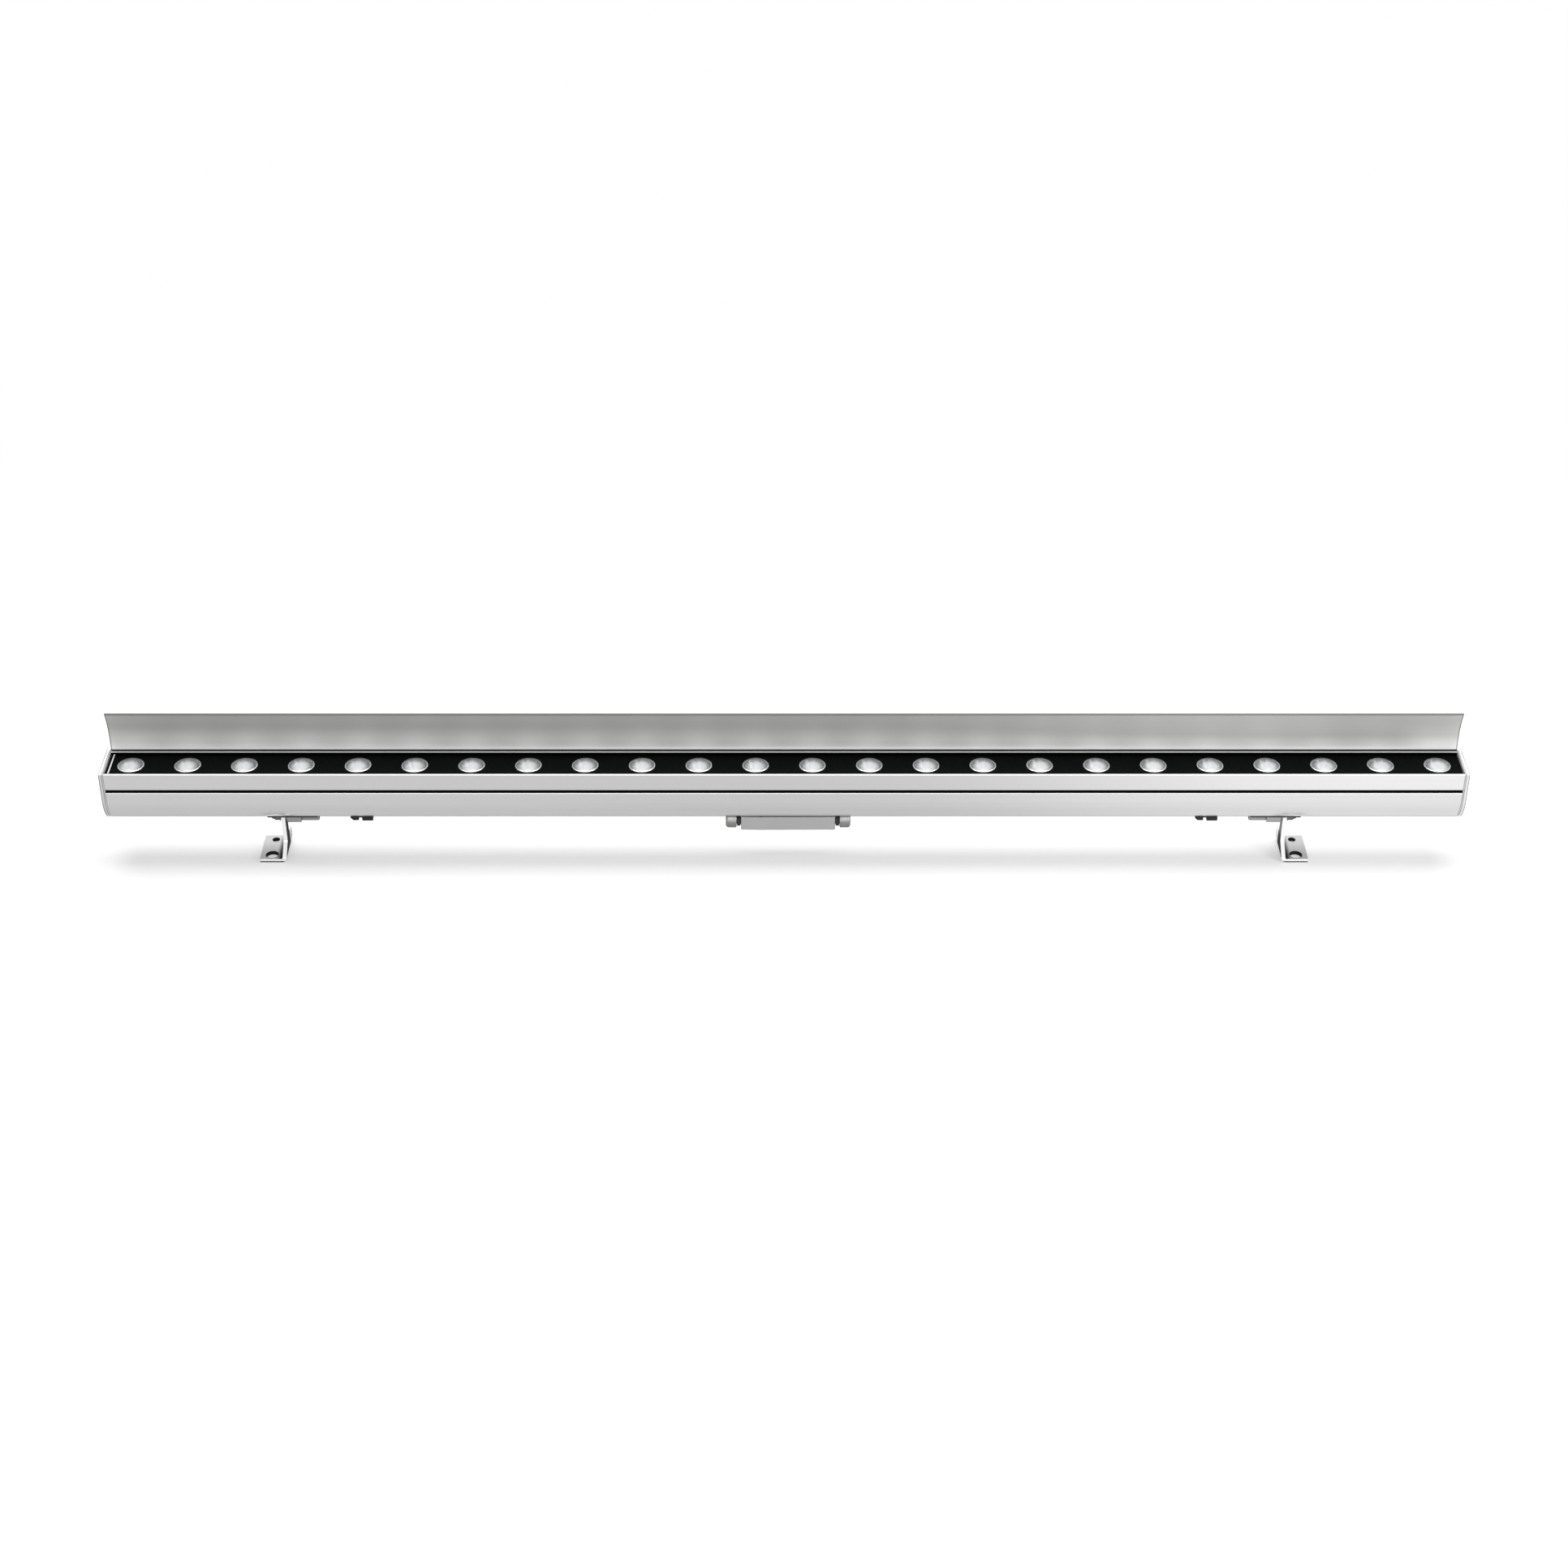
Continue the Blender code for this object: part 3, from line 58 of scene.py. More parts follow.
# Studio: a white table top that keeps the soft shadow, a white surround, and large soft lamps
# over, in front of and to the right of the light.
class Value:
    """One socket of a finish. Arithmetic on it adds Math nodes."""

    def __init__(self, finish, socket):
        self.finish = finish
        self.socket = socket

    def math(self, operation, *terms):
        return self.finish.node("Math", {"operation": operation}, dict(enumerate(terms)))

    def __add__(self, other):
        return self.math("ADD", self, other)

    __radd__ = __add__

    def __sub__(self, other):
        return self.math("SUBTRACT", self, other)

    def __rsub__(self, other):
        return self.math("SUBTRACT", other, self)

    def __mul__(self, other):
        return self.math("MULTIPLY", self, other)

    __rmul__ = __mul__

    def __truediv__(self, other):
        return self.math("DIVIDE", self, other)

    def __pow__(self, other):
        return self.math("POWER", self, other)

    def __abs__(self):
        return self.math("ABSOLUTE", self)

    def greater(self, other):
        return self.math("MAXIMUM", self, other)

    def ramp(self, low, high):
        """0 below low, 1 above high, and a smooth step between them."""
        return self.finish.node("MapRange", {"interpolation_type": "SMOOTHSTEP"},
                                {"Value": self, "From Min": low, "From Max": high})


class Finish:
    """A material, or the world, and the nodes that make its look."""

    def __init__(self, name, owner=None):
        self.owner = owner or bpy.data.materials.new(name)
        self.owner.use_nodes = True
        self.tree = self.owner.node_tree
        self.shader = self.tree.nodes.get("Principled BSDF")

    def set(self, socket, value):
        """Links a value to a socket, or sets a constant on it."""
        if isinstance(value, Value):
            self.tree.links.new(value.socket, socket)
        elif socket.type == "RGBA" and len(value) == 3:
            socket.default_value = (*value, 1)
        else:
            socket.default_value = value

    def node(self, kind, settings, sockets, out=0):
        """One output of a new node of any kind."""
        made = self.tree.nodes.new("ShaderNode" + kind)
        for name, value in settings.items():
            setattr(made, name, value)
        for name, value in sockets.items():
            self.set(made.inputs[name], value)
        return Value(self, made.outputs[out])

    def shade(self, sockets):
        for name, value in sockets.items():
            self.set(self.shader.inputs[name], value)

    def mix(self, share, first, second):
        """Colour between two others."""
        return self.node("Mix", {"data_type": "RGBA"}, {0: share, 6: first, 7: second}, 2)


def rays(finish, kind):
    """1 where a ray of one kind meets the surface, such as Camera or Glossy."""
    return finish.node("LightPath", {}, {}, f"Is {kind} Ray")


def position(finish, axis):
    """X, Y or Z of the surface, in metres, at rest."""
    spot = finish.node("TexCoord", {}, {}, "Object")
    return finish.node("SeparateXYZ", {}, {0: spot}, axis)


def grey(level):
    return level, level, level


TABLE_REACH = 4.0
table_finish = Finish("table_top")
table_x = position(table_finish, "X")
table_y = position(table_finish, "Y")
away = (table_x * table_x + table_y * table_y) ** 0.5
right_side = table_x.ramp(0.05, 0.46)
close_in_front = table_y.ramp(-0.10, -0.03)
seen = rays(table_finish, "Camera") + rays(table_finish, "Transmission")
mirrored = rays(table_finish, "Glossy") * (1 - seen)
mirror_strength = (0.67 + 0.33 * right_side) * (1 - 0.07 * close_in_front)
table_glow = table_finish.node("Emission", {}, {
    "Color": (1, 1, 1), "Strength": seen + mirrored * mirror_strength})
table_paint = table_finish.node("BsdfDiffuse", {}, {"Color": grey(0.92)})
glow_share = seen * (0.36 + 0.64 * away.ramp(0.60, 1.00)) + mirrored
table_mix = table_finish.node("MixShader", {}, {0: glow_share, 1: table_paint, 2: table_glow})
table_finish.tree.links.new(table_mix.socket,
                            table_finish.tree.nodes["Material Output"].inputs["Surface"])
table_mesh = bpy.data.meshes.new("table_top")
table_mesh.from_pydata([(-TABLE_REACH, -TABLE_REACH, 0), (TABLE_REACH, -TABLE_REACH, 0),
                        (TABLE_REACH, TABLE_REACH, 0), (-TABLE_REACH, TABLE_REACH, 0)], [],
                       [(0, 1, 2, 3)])
table_mesh.materials.append(table_finish.owner)
table = bpy.data.objects.new("table_top", table_mesh)
bpy.context.scene.collection.objects.link(table)

world = bpy.data.worlds.new("surround")
bpy.context.scene.world = world
surround = Finish("surround", world)
surround.set(surround.tree.nodes["Background"].inputs["Color"], (1, 1, 1))
seen_or_mirrored = rays(surround, "Camera") + rays(surround, "Transmission")
seen_or_mirrored = seen_or_mirrored + rays(surround, "Glossy") * (1 - seen_or_mirrored)
surround.set(surround.tree.nodes["Background"].inputs["Strength"],
             0.40 + 0.60 * seen_or_mirrored)


def lamp(name, place, aim, size, power):
    data = bpy.data.lights.new(name, "AREA")
    data.shape = "RECTANGLE"
    data.size, data.size_y = size
    data.energy = power
    light = bpy.data.objects.new(name, data)
    light.location = place
    light.rotation_euler = (Vector(aim) - Vector(place)).to_track_quat("-Z", "Y").to_euler()
    bpy.context.scene.collection.objects.link(light)


lamp("lamp_over", (0, 0.33, 1.5), (0, 0, 0), (2.4, 0.8), 31)
lamp("lamp_front", (-0.2, -2.2, 1.6), (0, 0, 0), (2.0, 1.2), 20)
lamp("lamp_right", (1.9, -1.1, 0.9), (0.4, 0, 0.05), (0.9, 0.9), 18)


# Housing: an aluminium extrusion with a shadow groove along its front face, flanks that curve in
# towards the underside, a tray for the lenses on top and a slot for the visor behind it. It is
# cut to length, clear anodised, and shows the fine lines that the die draws along it.
DEPTH = 0.0355
HALF = DEPTH / 2
BODY_LIFT = 0.0385
BODY_TOP = 0.0795
HOUSING_END = 0.4964
RIM = 0.0020
TRAY_FRONT = -HALF + RIM
TRAY_REAR = 0.01225
SLOT_FRONT = 0.01385
SLOT_REAR = 0.01615
SLOT_BOTTOM = 0.0715
GROOVE_TOP = 0.0652
GROOVE_BOTTOM = 0.0634
GROOVE_DEPTH = 0.0030
FLANK_TOP = 0.0564
TUCK = 0.0066
FLANK_RADIUS = ((FLANK_TOP - BODY_LIFT) ** 2 + TUCK ** 2) / (2 * TUCK)
FLANK_STEPS = 16
UNDERSIDE_HALF = HALF - TUCK
SHELF_TOP = 0.0662
SHELF_BOTTOM = 0.0622
LEDGE = 0.0016
LEDGE_TOP = 0.0741
LEDGE_BOTTOM = 0.0727
WALL = 0.0020
FLOOR_TOP = 0.0405
RIB_TOP = 0.0445
RIB_INNER = 0.0055
BOSS_Y = -0.01165
BOSS_TOP = 0.0708

ACROSS = Matrix(((0, 0, 1, 0), (1, 0, 0, 0), (0, 1, 0, 0), (0, 0, 0, 1)))
ON_FRONT = Matrix(((1, 0, 0, 0), (0, 0, -1, 0), (0, 1, 0, 0), (0, 0, 0, 1)))


def rounded(corners, steps=5):
    """Outline through (x, y, radius) corners, each given radius drawn as an arc."""
    outline = []
    for index, (x, y, radius) in enumerate(corners):
        corner = Vector((x, y))
        if not radius:
            outline.append((x, y))
            continue
        before = (Vector(corners[index - 1][:2]) - corner).normalized()
        after = (Vector(corners[(index + 1) % len(corners)][:2]) - corner).normalized()
        half_angle = before.angle(after) / 2
        centre = corner + (before + after).normalized() * (radius / math.sin(half_angle))
        reach = radius / math.tan(half_angle)
        first = corner + before * reach - centre
        last = corner + after * reach - centre
        sweep = first.angle_signed(last)
        for step in range(steps + 1):
            spoke = first.copy()
            spoke.rotate(Matrix.Rotation(-sweep * step / steps, 2))
            outline.append(tuple(centre + spoke))
    return outline


def ring(x, y, radius, sides=32):
    """Points of a round outline."""
    turns = [2 * math.pi * step / sides for step in range(sides)]
    return [(x + radius * math.cos(turn), y + radius * math.sin(turn)) for turn in turns]


def new_object(name, shape):
    piece = bpy.data.objects.new(name, shape)
    bpy.context.scene.collection.objects.link(piece)
    return piece


def settled(piece):
    """The same piece with its modifiers or curve settings worked into its mesh."""
    bpy.context.view_layer.update()
    name = piece.name
    mesh = bpy.data.meshes.new_from_object(
        piece.evaluated_get(bpy.context.evaluated_depsgraph_get()))
    bpy.data.objects.remove(piece, do_unlink=True)
    mesh.name = name
    return new_object(name, mesh)


def cut_out(name, loops, thickness, place):
    """Flat solid between outlines: the first is its edge, the others are holes through it."""
    curve = bpy.data.curves.new(name, "CURVE")
    curve.dimensions = "2D"
    curve.fill_mode = "BOTH"
    curve.extrude = thickness / 2
    for loop in loops:
        spline = curve.splines.new("POLY")
        spline.points.add(len(loop) - 1)
        for point, (across, up) in zip(spline.points, loop):
            point.co = (across, up, 0, 1)
        spline.use_cyclic_u = True
    piece = settled(new_object(name, curve))
    shell = bmesh.new()
    shell.from_mesh(piece.data)
    bmesh.ops.remove_doubles(shell, verts=shell.verts, dist=0.000002)
    bmesh.ops.recalc_face_normals(shell, faces=shell.faces)
    bmesh.ops.transform(shell, matrix=place, verts=shell.verts)
    shell.to_mesh(piece.data)
    shell.free()
    return piece


def softened(piece, width, steps=3, angle=30):
    """The piece with its sharp edges rounded over and its flat faces still shaded flat."""
    piece.data.shade_smooth()
    if width:
        edges = piece.modifiers.new("edges", "BEVEL")
        edges.width = width
        edges.segments = steps
        edges.limit_method = "ANGLE"
        edges.angle_limit = math.radians(angle)
    piece.modifiers.new("shading", "WEIGHTED_NORMAL")
    return settled(piece)


def fit(piece, finish, slot, body, *nodes):
    """Gives a new piece its finish, hangs it on a body, and hides what it replaces. The slot is not
    used.
    """
    piece.data.materials.clear()
    piece.data.materials.append(finish.owner)
    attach(piece, body)
    if nodes:
        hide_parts(*nodes)


def along(finish, lengthwise, across, upwards):
    """Noise from 0 to 1 with so many grains a metre along, across and up the light."""
    spot = finish.node("TexCoord", {}, {}, "Object")
    stretched = finish.node("VectorMath", {"operation": "MULTIPLY"},
                            {0: spot, 1: (lengthwise, across, upwards)})
    return finish.node("TexNoise", {}, {"Vector": stretched, "Scale": 1.0, "Detail": 3.0})


def relief(finish, height, depth):
    """Normal of a surface that the height lifts by up to so many metres."""
    return finish.node("Bump", {}, {"Height": height, "Distance": depth})


def flank(side, inset, lowest):
    """Points of one curved flank, from its top down to a height; inset draws it inwards."""
    radius = FLANK_RADIUS - inset
    last = math.asin((FLANK_TOP - lowest) / radius)
    points = []
    for step in range(FLANK_STEPS + 1):
        angle = last * step / FLANK_STEPS
        across = HALF - FLANK_RADIUS + radius * math.cos(angle)
        points.append((side * across, FLANK_TOP - radius * math.sin(angle), 0))
    return points


housing_edge = [(-HALF, BODY_TOP, 0.0004), (-HALF, GROOVE_TOP, 0.0003),
                (-HALF + GROOVE_DEPTH, GROOVE_TOP, 0.0001),
                (-HALF + GROOVE_DEPTH, GROOVE_BOTTOM, 0.0001), (-HALF, GROOVE_BOTTOM, 0.0006)]
housing_edge += flank(-1, 0, BODY_LIFT) + flank(1, 0, BODY_LIFT)[::-1]
housing_edge += [(HALF, BODY_TOP, 0.0004), (SLOT_REAR, BODY_TOP, 0.0002),
                 (SLOT_REAR, SLOT_BOTTOM, 0), (SLOT_FRONT, SLOT_BOTTOM, 0),
                 (SLOT_FRONT, BODY_TOP, 0.0002), (TRAY_REAR, BODY_TOP, 0.0003),
                 (TRAY_REAR, LEDGE_TOP, 0), (TRAY_REAR - LEDGE, LEDGE_TOP, 0),
                 (TRAY_REAR - LEDGE, LEDGE_BOTTOM, 0), (TRAY_REAR, LEDGE_BOTTOM, 0),
                 (TRAY_REAR, SHELF_TOP, 0), (BOSS_Y, SHELF_TOP, 0), (BOSS_Y, BOSS_TOP, 0),
                 (TRAY_FRONT, BOSS_TOP, 0), (TRAY_FRONT, LEDGE_BOTTOM, 0),
                 (TRAY_FRONT + LEDGE, LEDGE_BOTTOM, 0), (TRAY_FRONT + LEDGE, LEDGE_TOP, 0),
                 (TRAY_FRONT, LEDGE_TOP, 0), (TRAY_FRONT, BODY_TOP, 0.0003)]
cavity = [(-HALF + WALL, SHELF_BOTTOM)]
cavity += [point[:2] for point in flank(-1, WALL, RIB_TOP)]
cavity += [(-RIB_INNER, RIB_TOP), (-RIB_INNER, FLOOR_TOP), (RIB_INNER, FLOOR_TOP),
           (RIB_INNER, RIB_TOP)]
cavity += [point[:2] for point in flank(1, WALL, RIB_TOP)[::-1]] + [(HALF - WALL, SHELF_BOTTOM)]

anodised = Finish("anodised_aluminium")
die_lines = along(anodised, 1.5, 1600, 1600)
broad_lines = along(anodised, 0.6, 260, 260)
bloom = along(anodised, 14, 14, 14)
# Painted light on the housing: painted highlights make the white rims and the white line under
# the groove, and painted shade makes the black groove, the black tray walls, the dark lower line
# and the darker lower face to the right, which one set of lamps alone doesn't give.
face_depth = position(anodised, "Y")
face_level = position(anodised, "Z")
under_lip = face_level.ramp(GROOVE_TOP - 0.0002, GROOVE_TOP)
painted_groove_shade = (face_level.ramp(GROOVE_BOTTOM - 0.0002, GROOVE_BOTTOM)
             * (1 - face_level.ramp(GROOVE_TOP + 0.0009, GROOVE_TOP + 0.0011))
             * under_lip.greater(face_depth.ramp(-HALF + 0.0002, -HALF + 0.0004))
             * (1 - face_depth.ramp(-HALF + 0.0035, -HALF + 0.0040)))
painted_tray_shade = (face_depth.ramp(TRAY_FRONT - 0.0010, TRAY_FRONT - 0.0008)
           * (1 - face_depth.ramp(TRAY_REAR, TRAY_REAR + 0.0002))
           * face_level.ramp(SHELF_TOP, LEDGE_TOP))
painted_top_highlight = face_level.ramp(BODY_TOP - 0.0007, BODY_TOP - 0.0005)
painted_lip_highlight = (face_level.ramp(GROOVE_BOTTOM - 0.0008, GROOVE_BOTTOM - 0.0006)
             * (1 - face_level.ramp(GROOVE_BOTTOM + 0.0001, GROOVE_BOTTOM + 0.0003))
             * (1 - face_depth.ramp(-HALF + 0.0006, -HALF + 0.0008)))
painted_edge_highlights = 0.9 * painted_top_highlight.greater(0.8 * painted_lip_highlight)
painted_lower_shade_line = 0.55 * ((1 - face_level.ramp(BODY_LIFT + 0.0010, BODY_LIFT + 0.0013))
                     * abs(face_depth).ramp(UNDERSIDE_HALF - 0.00035, UNDERSIDE_HALF - 0.00005))
painted_shade = painted_groove_shade.greater(painted_tray_shade).greater(painted_lower_shade_line)
painted_lower_right_shade = ((1 - face_level.ramp(GROOVE_BOTTOM - 0.0020, GROOVE_BOTTOM))
               * position(anodised, "X").ramp(0.20, 0.45))
alloy = anodised.mix(0.42 + 0.29 * die_lines + 0.17 * broad_lines + 0.12 * bloom
                     - 0.42 * painted_lower_right_shade, (0.74, 0.74, 0.735), grey(0.93))
anodised.shade({
    "Base Color": anodised.mix(painted_shade, alloy, grey(0.004)),
    "Metallic": 1 - painted_edge_highlights.greater(painted_groove_shade),
    "Roughness": 0.26 + 0.12 * die_lines,
    "Specular IOR Level": 0.1,
    "Normal": relief(anodised, die_lines, 0.00002)})
housing = cut_out("housing_extrusion", [rounded(housing_edge), cavity], 2 * HOUSING_END, ACROSS)
fit(softened(housing, 0), anodised, "body_aluminium", "body", "housing")


# End gaskets: thin grey silicone sheets, die cut to the outline of the extrusion, which seal
# its ends. Only their edge shows, as a fine line beside each end cap.
LENGTH = 1.0
END_CAP = 0.0022


def dress(finish, *nodes):
    """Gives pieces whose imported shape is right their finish."""
    for node in nodes:
        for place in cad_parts[node].material_slots:
            place.material = finish.owner


def grained(name, grains, dark, pale, roughness, spread, depth, metallic=0.0, specular=0.5):
    """Finish in which one fine noise moves the colour, the roughness and the relief."""
    finish = Finish(name)
    grain = along(finish, *grains)
    finish.shade({
        "Base Color": finish.mix(grain, dark, pale),
        "Metallic": metallic,
        "Roughness": roughness + spread * grain,
        "Specular IOR Level": specular,
        "Normal": relief(finish, grain, depth)})
    return finish


grey_silicone = grained("grey_silicone", (900, 900, 900), grey(0.42), grey(0.54),
                        0.62, 0.25, 0.00003, specular=0.3)
dress(grey_silicone, "end_gasket_left", "end_gasket_right")


# End caps: aluminium plates, milled to the outline of the extrusion with a broken edge all
# round, bead blasted and anodised. Four countersunk screws hold each one.
CAP_SCREWS = [(-0.01445, 0.0680), (0.01445, 0.0680), (-0.0086, 0.0423), (0.0086, 0.0423)]
HEAD_RADIUS = 0.00275
HEAD_SEAT = HEAD_RADIUS + 0.0001
SIDES = ((-1, "left"), (1, "right"))

blasted = Finish("blasted_aluminium")
beads = along(blasted, 2600, 2600, 2600)
cap_bloom = along(blasted, 60, 60, 60)
# Painted light: the tops of the caps are made pale and less metallic as a painted highlight, and a
# painted shade line darkens the outer edge of each cap.
painted_cap_highlight = position(blasted, "Z").ramp(BODY_TOP - 0.0004, BODY_TOP - 0.0002)
cap_out = abs(position(blasted, "X"))
painted_cap_edge_shade = (cap_out.ramp(LENGTH / 2 - 0.0006, LENGTH / 2 - 0.0005)
                 * (1 - cap_out.ramp(LENGTH / 2 - 0.0001, LENGTH / 2)))
cap_alloy = blasted.mix(0.6 * beads + 0.4 * cap_bloom, (0.78, 0.78, 0.775), grey(0.90))
blasted.shade({
    "Base Color": blasted.mix(0.7 * painted_cap_edge_shade, cap_alloy, grey(0.05)),
    "Metallic": 1 - 0.9 * painted_cap_highlight,
    "Roughness": 0.32 + 0.12 * beads,
    "Normal": relief(blasted, beads, 0.00002)})
cap_edge = [(-HALF, BODY_TOP, 0.0006)]
cap_edge += flank(-1, 0, BODY_LIFT) + flank(1, 0, BODY_LIFT)[::-1]
cap_edge += [(HALF, BODY_TOP, 0.0006)]
cap_holes = [ring(y, z, HEAD_SEAT) for y, z in CAP_SCREWS]
for side, word in SIDES:
    cap_place = Matrix.Translation((side * (LENGTH - END_CAP) / 2, 0, 0)) @ ACROSS
    cap = cut_out("end_plate_" + word, [rounded(cap_edge)] + cap_holes, END_CAP, cap_place)
    fit(softened(cap, 0.00025), blasted, "body_aluminium", "body", "end_cap_" + word)


# End cap screws: stainless countersunk screws, turned, with a pressed hexagon socket. Four run
# through each end cap and its gasket into the end of the extrusion.
SCREW_RADIUS = 0.0015
SUNK_HEAD = 0.0016
CAP_SCREW_LENGTH = 0.0100
TURNED_SIDES = 36


def radius_at(turn, radius, corners):
    """Radius of a round row, or of a row with flat sides where corners are given."""
    if not corners:
        return radius
    half = math.pi / corners
    return radius * math.cos(half) / math.cos((turn + half) % (2 * half) - half)


def turned(name, rows, places, closed=False):
    """Turned pieces in one mesh, one at each place. Rows are (radius, height), run down the
    outer side, with a third number where the row has that many flat sides."""
    shell = bmesh.new()
    for place in places:
        rings = []
        for radius, height, *corners in rows:
            if not radius:
                rings.append([shell.verts.new(place @ Vector((0, 0, height)))])
                continue
            spots = []
            for step in range(TURNED_SIDES):
                turn = 2 * math.pi * step / TURNED_SIDES
                reach = radius_at(turn, radius, corners[0] if corners else 0)
                spots.append(shell.verts.new(place @ Vector(
                    (reach * math.cos(turn), reach * math.sin(turn), height))))
            rings.append(spots)
        pairs = list(zip(rings, rings[1:]))
        if closed:
            pairs.append((rings[-1], rings[0]))
        for upper, lower in pairs:
            for step in range(TURNED_SIDES):
                after = (step + 1) % TURNED_SIDES
                corners = [upper[step % len(upper)], lower[step % len(lower)],
                           lower[after % len(lower)], upper[after % len(upper)]]
                shell.faces.new(list(dict.fromkeys(corners)))
    bmesh.ops.recalc_face_normals(shell, faces=shell.faces)
    mesh = bpy.data.meshes.new(name)
    shell.to_mesh(mesh)
    shell.free()
    mesh.shade_smooth()
    mesh.set_sharp_from_angle(angle=math.radians(32))
    return new_object(name, mesh)


def facing(direction, place):
    """Placement that turns local Z to the given direction."""
    turn = Vector(direction).to_track_quat("Z", "Y").to_matrix().to_4x4()
    return Matrix.Translation(place) @ turn


def sunk_screw(length):
    """Rows of a countersunk screw; its face is at height 0."""
    return [(0, -0.0010), (0.0011, -0.0009, 6), (0.0011, -0.0001, 6), (0.0012, 0),
            (HEAD_RADIUS - 0.0001, 0), (HEAD_RADIUS, -0.0001), (HEAD_RADIUS, -0.0003),
            (SCREW_RADIUS, -SUNK_HEAD), (SCREW_RADIUS, 0.0003 - length),
            (SCREW_RADIUS - 0.0003, -length), (0, -length)]


# The stainless is toned dark as painted shade, for screws that sit in shadow.
screw_steel = grained("turned_stainless_shade_darkened", (1800, 1800, 1800), grey(0.10), (0.24, 0.24, 0.235),
                      0.18, 0.16, 0.00001, metallic=1.0)


def fit_screw(name, rows, place, node):
    """One turned screw or bolt in the place of a packed one."""
    fit(turned(name, rows, [place]), screw_steel, "screw_steel", "body", node)


for side, word in SIDES:
    for number, (y, z) in enumerate(CAP_SCREWS, start=1):
        fit_screw(f"end_screw_{word}_{number}", sunk_screw(CAP_SCREW_LENGTH),
                  facing((side, 0, 0), (side * LENGTH / 2, y, z)),
                  f"end_cap_screw_{word}_{number}")


# LED boards: metal core circuit boards with white solder resist, bonded to the shelf of the
# tray. A square white light-emitting chip sits under the middle of each lens.
TRAY_MIDDLE = (TRAY_FRONT + TRAY_REAR) / 2
LENS_COUNT = 24
LENS_PITCH = LENGTH / LENS_COUNT
CHIP_LEVEL = 0.0684

board_white = Finish("white_circuit_board")
phosphor = position(board_white, "Z").ramp(CHIP_LEVEL - 0.0001, CHIP_LEVEL + 0.0001)
board_print = along(board_white, 500, 500, 500)
board_white.shade({
    "Base Color": board_white.mix(phosphor, (0.72, 0.73, 0.70), (0.85, 0.74, 0.28)),
    "Roughness": 0.38 + 0.2 * board_print,
    "Normal": relief(board_white, board_print, 0.00002)})
dress(board_white, "led_board_left", "led_board_right")


# Lenses: clear moulded collimator lenses, twelve to a strip, each with a shallow dome that stands
# just out of the lens plate. Their sides fall steeply to the chip and reflect like silver.
GAP = 0.0003
WEB_INSET = 0.0020
LENS_RADIUS = 0.00965
LENS_EDGE_TOP = 0.0778
LENS_DOME = 0.0012
LENS_FOOT = 0.0691
WEB_TOP = 0.0752
WEB_BOTTOM = 0.0740
PLATE_BOTTOM = 0.0755

lens_xs = [(index - (LENS_COUNT - 1) / 2) * LENS_PITCH for index in range(LENS_COUNT)]
dome_rows = [(0, LENS_EDGE_TOP + LENS_DOME)]
for step in range(1, 9):
    share = step / 8
    dome_rows.append((LENS_RADIUS * (0.93 * share), LENS_EDGE_TOP + LENS_DOME
                      * (1 - 0.85 * share ** 2.2)))
dome_rows += [(LENS_RADIUS * 0.965, LENS_EDGE_TOP + 0.0001),
              (LENS_RADIUS * 0.99, LENS_EDGE_TOP - 0.0001),
              (LENS_RADIUS, LENS_EDGE_TOP - 0.0004), (LENS_RADIUS, PLATE_BOTTOM)]

clear_lens = Finish("clear_lens")
lens_haze = along(clear_lens, 650, 650, 650)
lens_turns = position(clear_lens, "X") / LENS_PITCH
off_x = (lens_turns.math("FRACT", lens_turns) - 0.5) * LENS_PITCH
off_y = position(clear_lens, "Y") - TRAY_MIDDLE
from_middle = (off_x * off_x + off_y * off_y) ** 0.5
# A painted highlight makes each dome paler towards its front. The haze varies at random, and the
# thin rim is frosted white.
toward_front = off_y + 0.0034
from_glare = (off_x * off_x + toward_front * toward_front) ** 0.5
thin_rim = from_middle.ramp(LENS_RADIUS * 0.94, LENS_RADIUS * 0.97)
glare = 1 - from_glare.ramp(LENS_RADIUS * 0.36, LENS_RADIUS * 0.92)
lit_share = (0.85 * glare + 0.20 * lens_haze).greater(0.85 * thin_rim)
clear_lens.shade({
    "Base Color": clear_lens.mix(lit_share, (0.10, 0.105, 0.11), (0.95, 0.96, 0.97)),
    "Metallic": 0.4,
    "Roughness": 0.16 + 0.14 * lens_haze,
    "Alpha": 0.70 + 0.28 * thin_rim,
    "Coat Weight": 0.6,
    "Coat Roughness": 0.04})

silvered = Finish("silvered_collimator")
flakes = silvered.node("TexVoronoi", {"feature": "F1"},
                       {"Vector": silvered.node("TexCoord", {}, {}, "Object"), "Scale": 1100.0},
                       "Color")
flake_tone = silvered.node("SeparateColor", {}, {0: flakes}, "Red")
silver_wave = along(silvered, 420, 420, 420)
silvered.shade({
    "Base Color": silvered.mix(0.55 * flake_tone + 0.45 * silver_wave, (0.30, 0.31, 0.32),
                               (0.74, 0.75, 0.76)),
    "Metallic": 1.0,
    "Roughness": 0.20 + 0.14 * silver_wave,
    "Normal": relief(silvered, flake_tone, 0.00012)})

lens_rim = Finish("frosted_lens_rim")
rim_grain = along(lens_rim, 1500, 1500, 1500)
lens_rim.shade({
    "Base Color": lens_rim.mix(rim_grain, (0.84, 0.85, 0.86), (0.97, 0.97, 0.98)),
    "Roughness": 0.25 + 0.15 * rim_grain,
    "Coat Weight": 0.5})

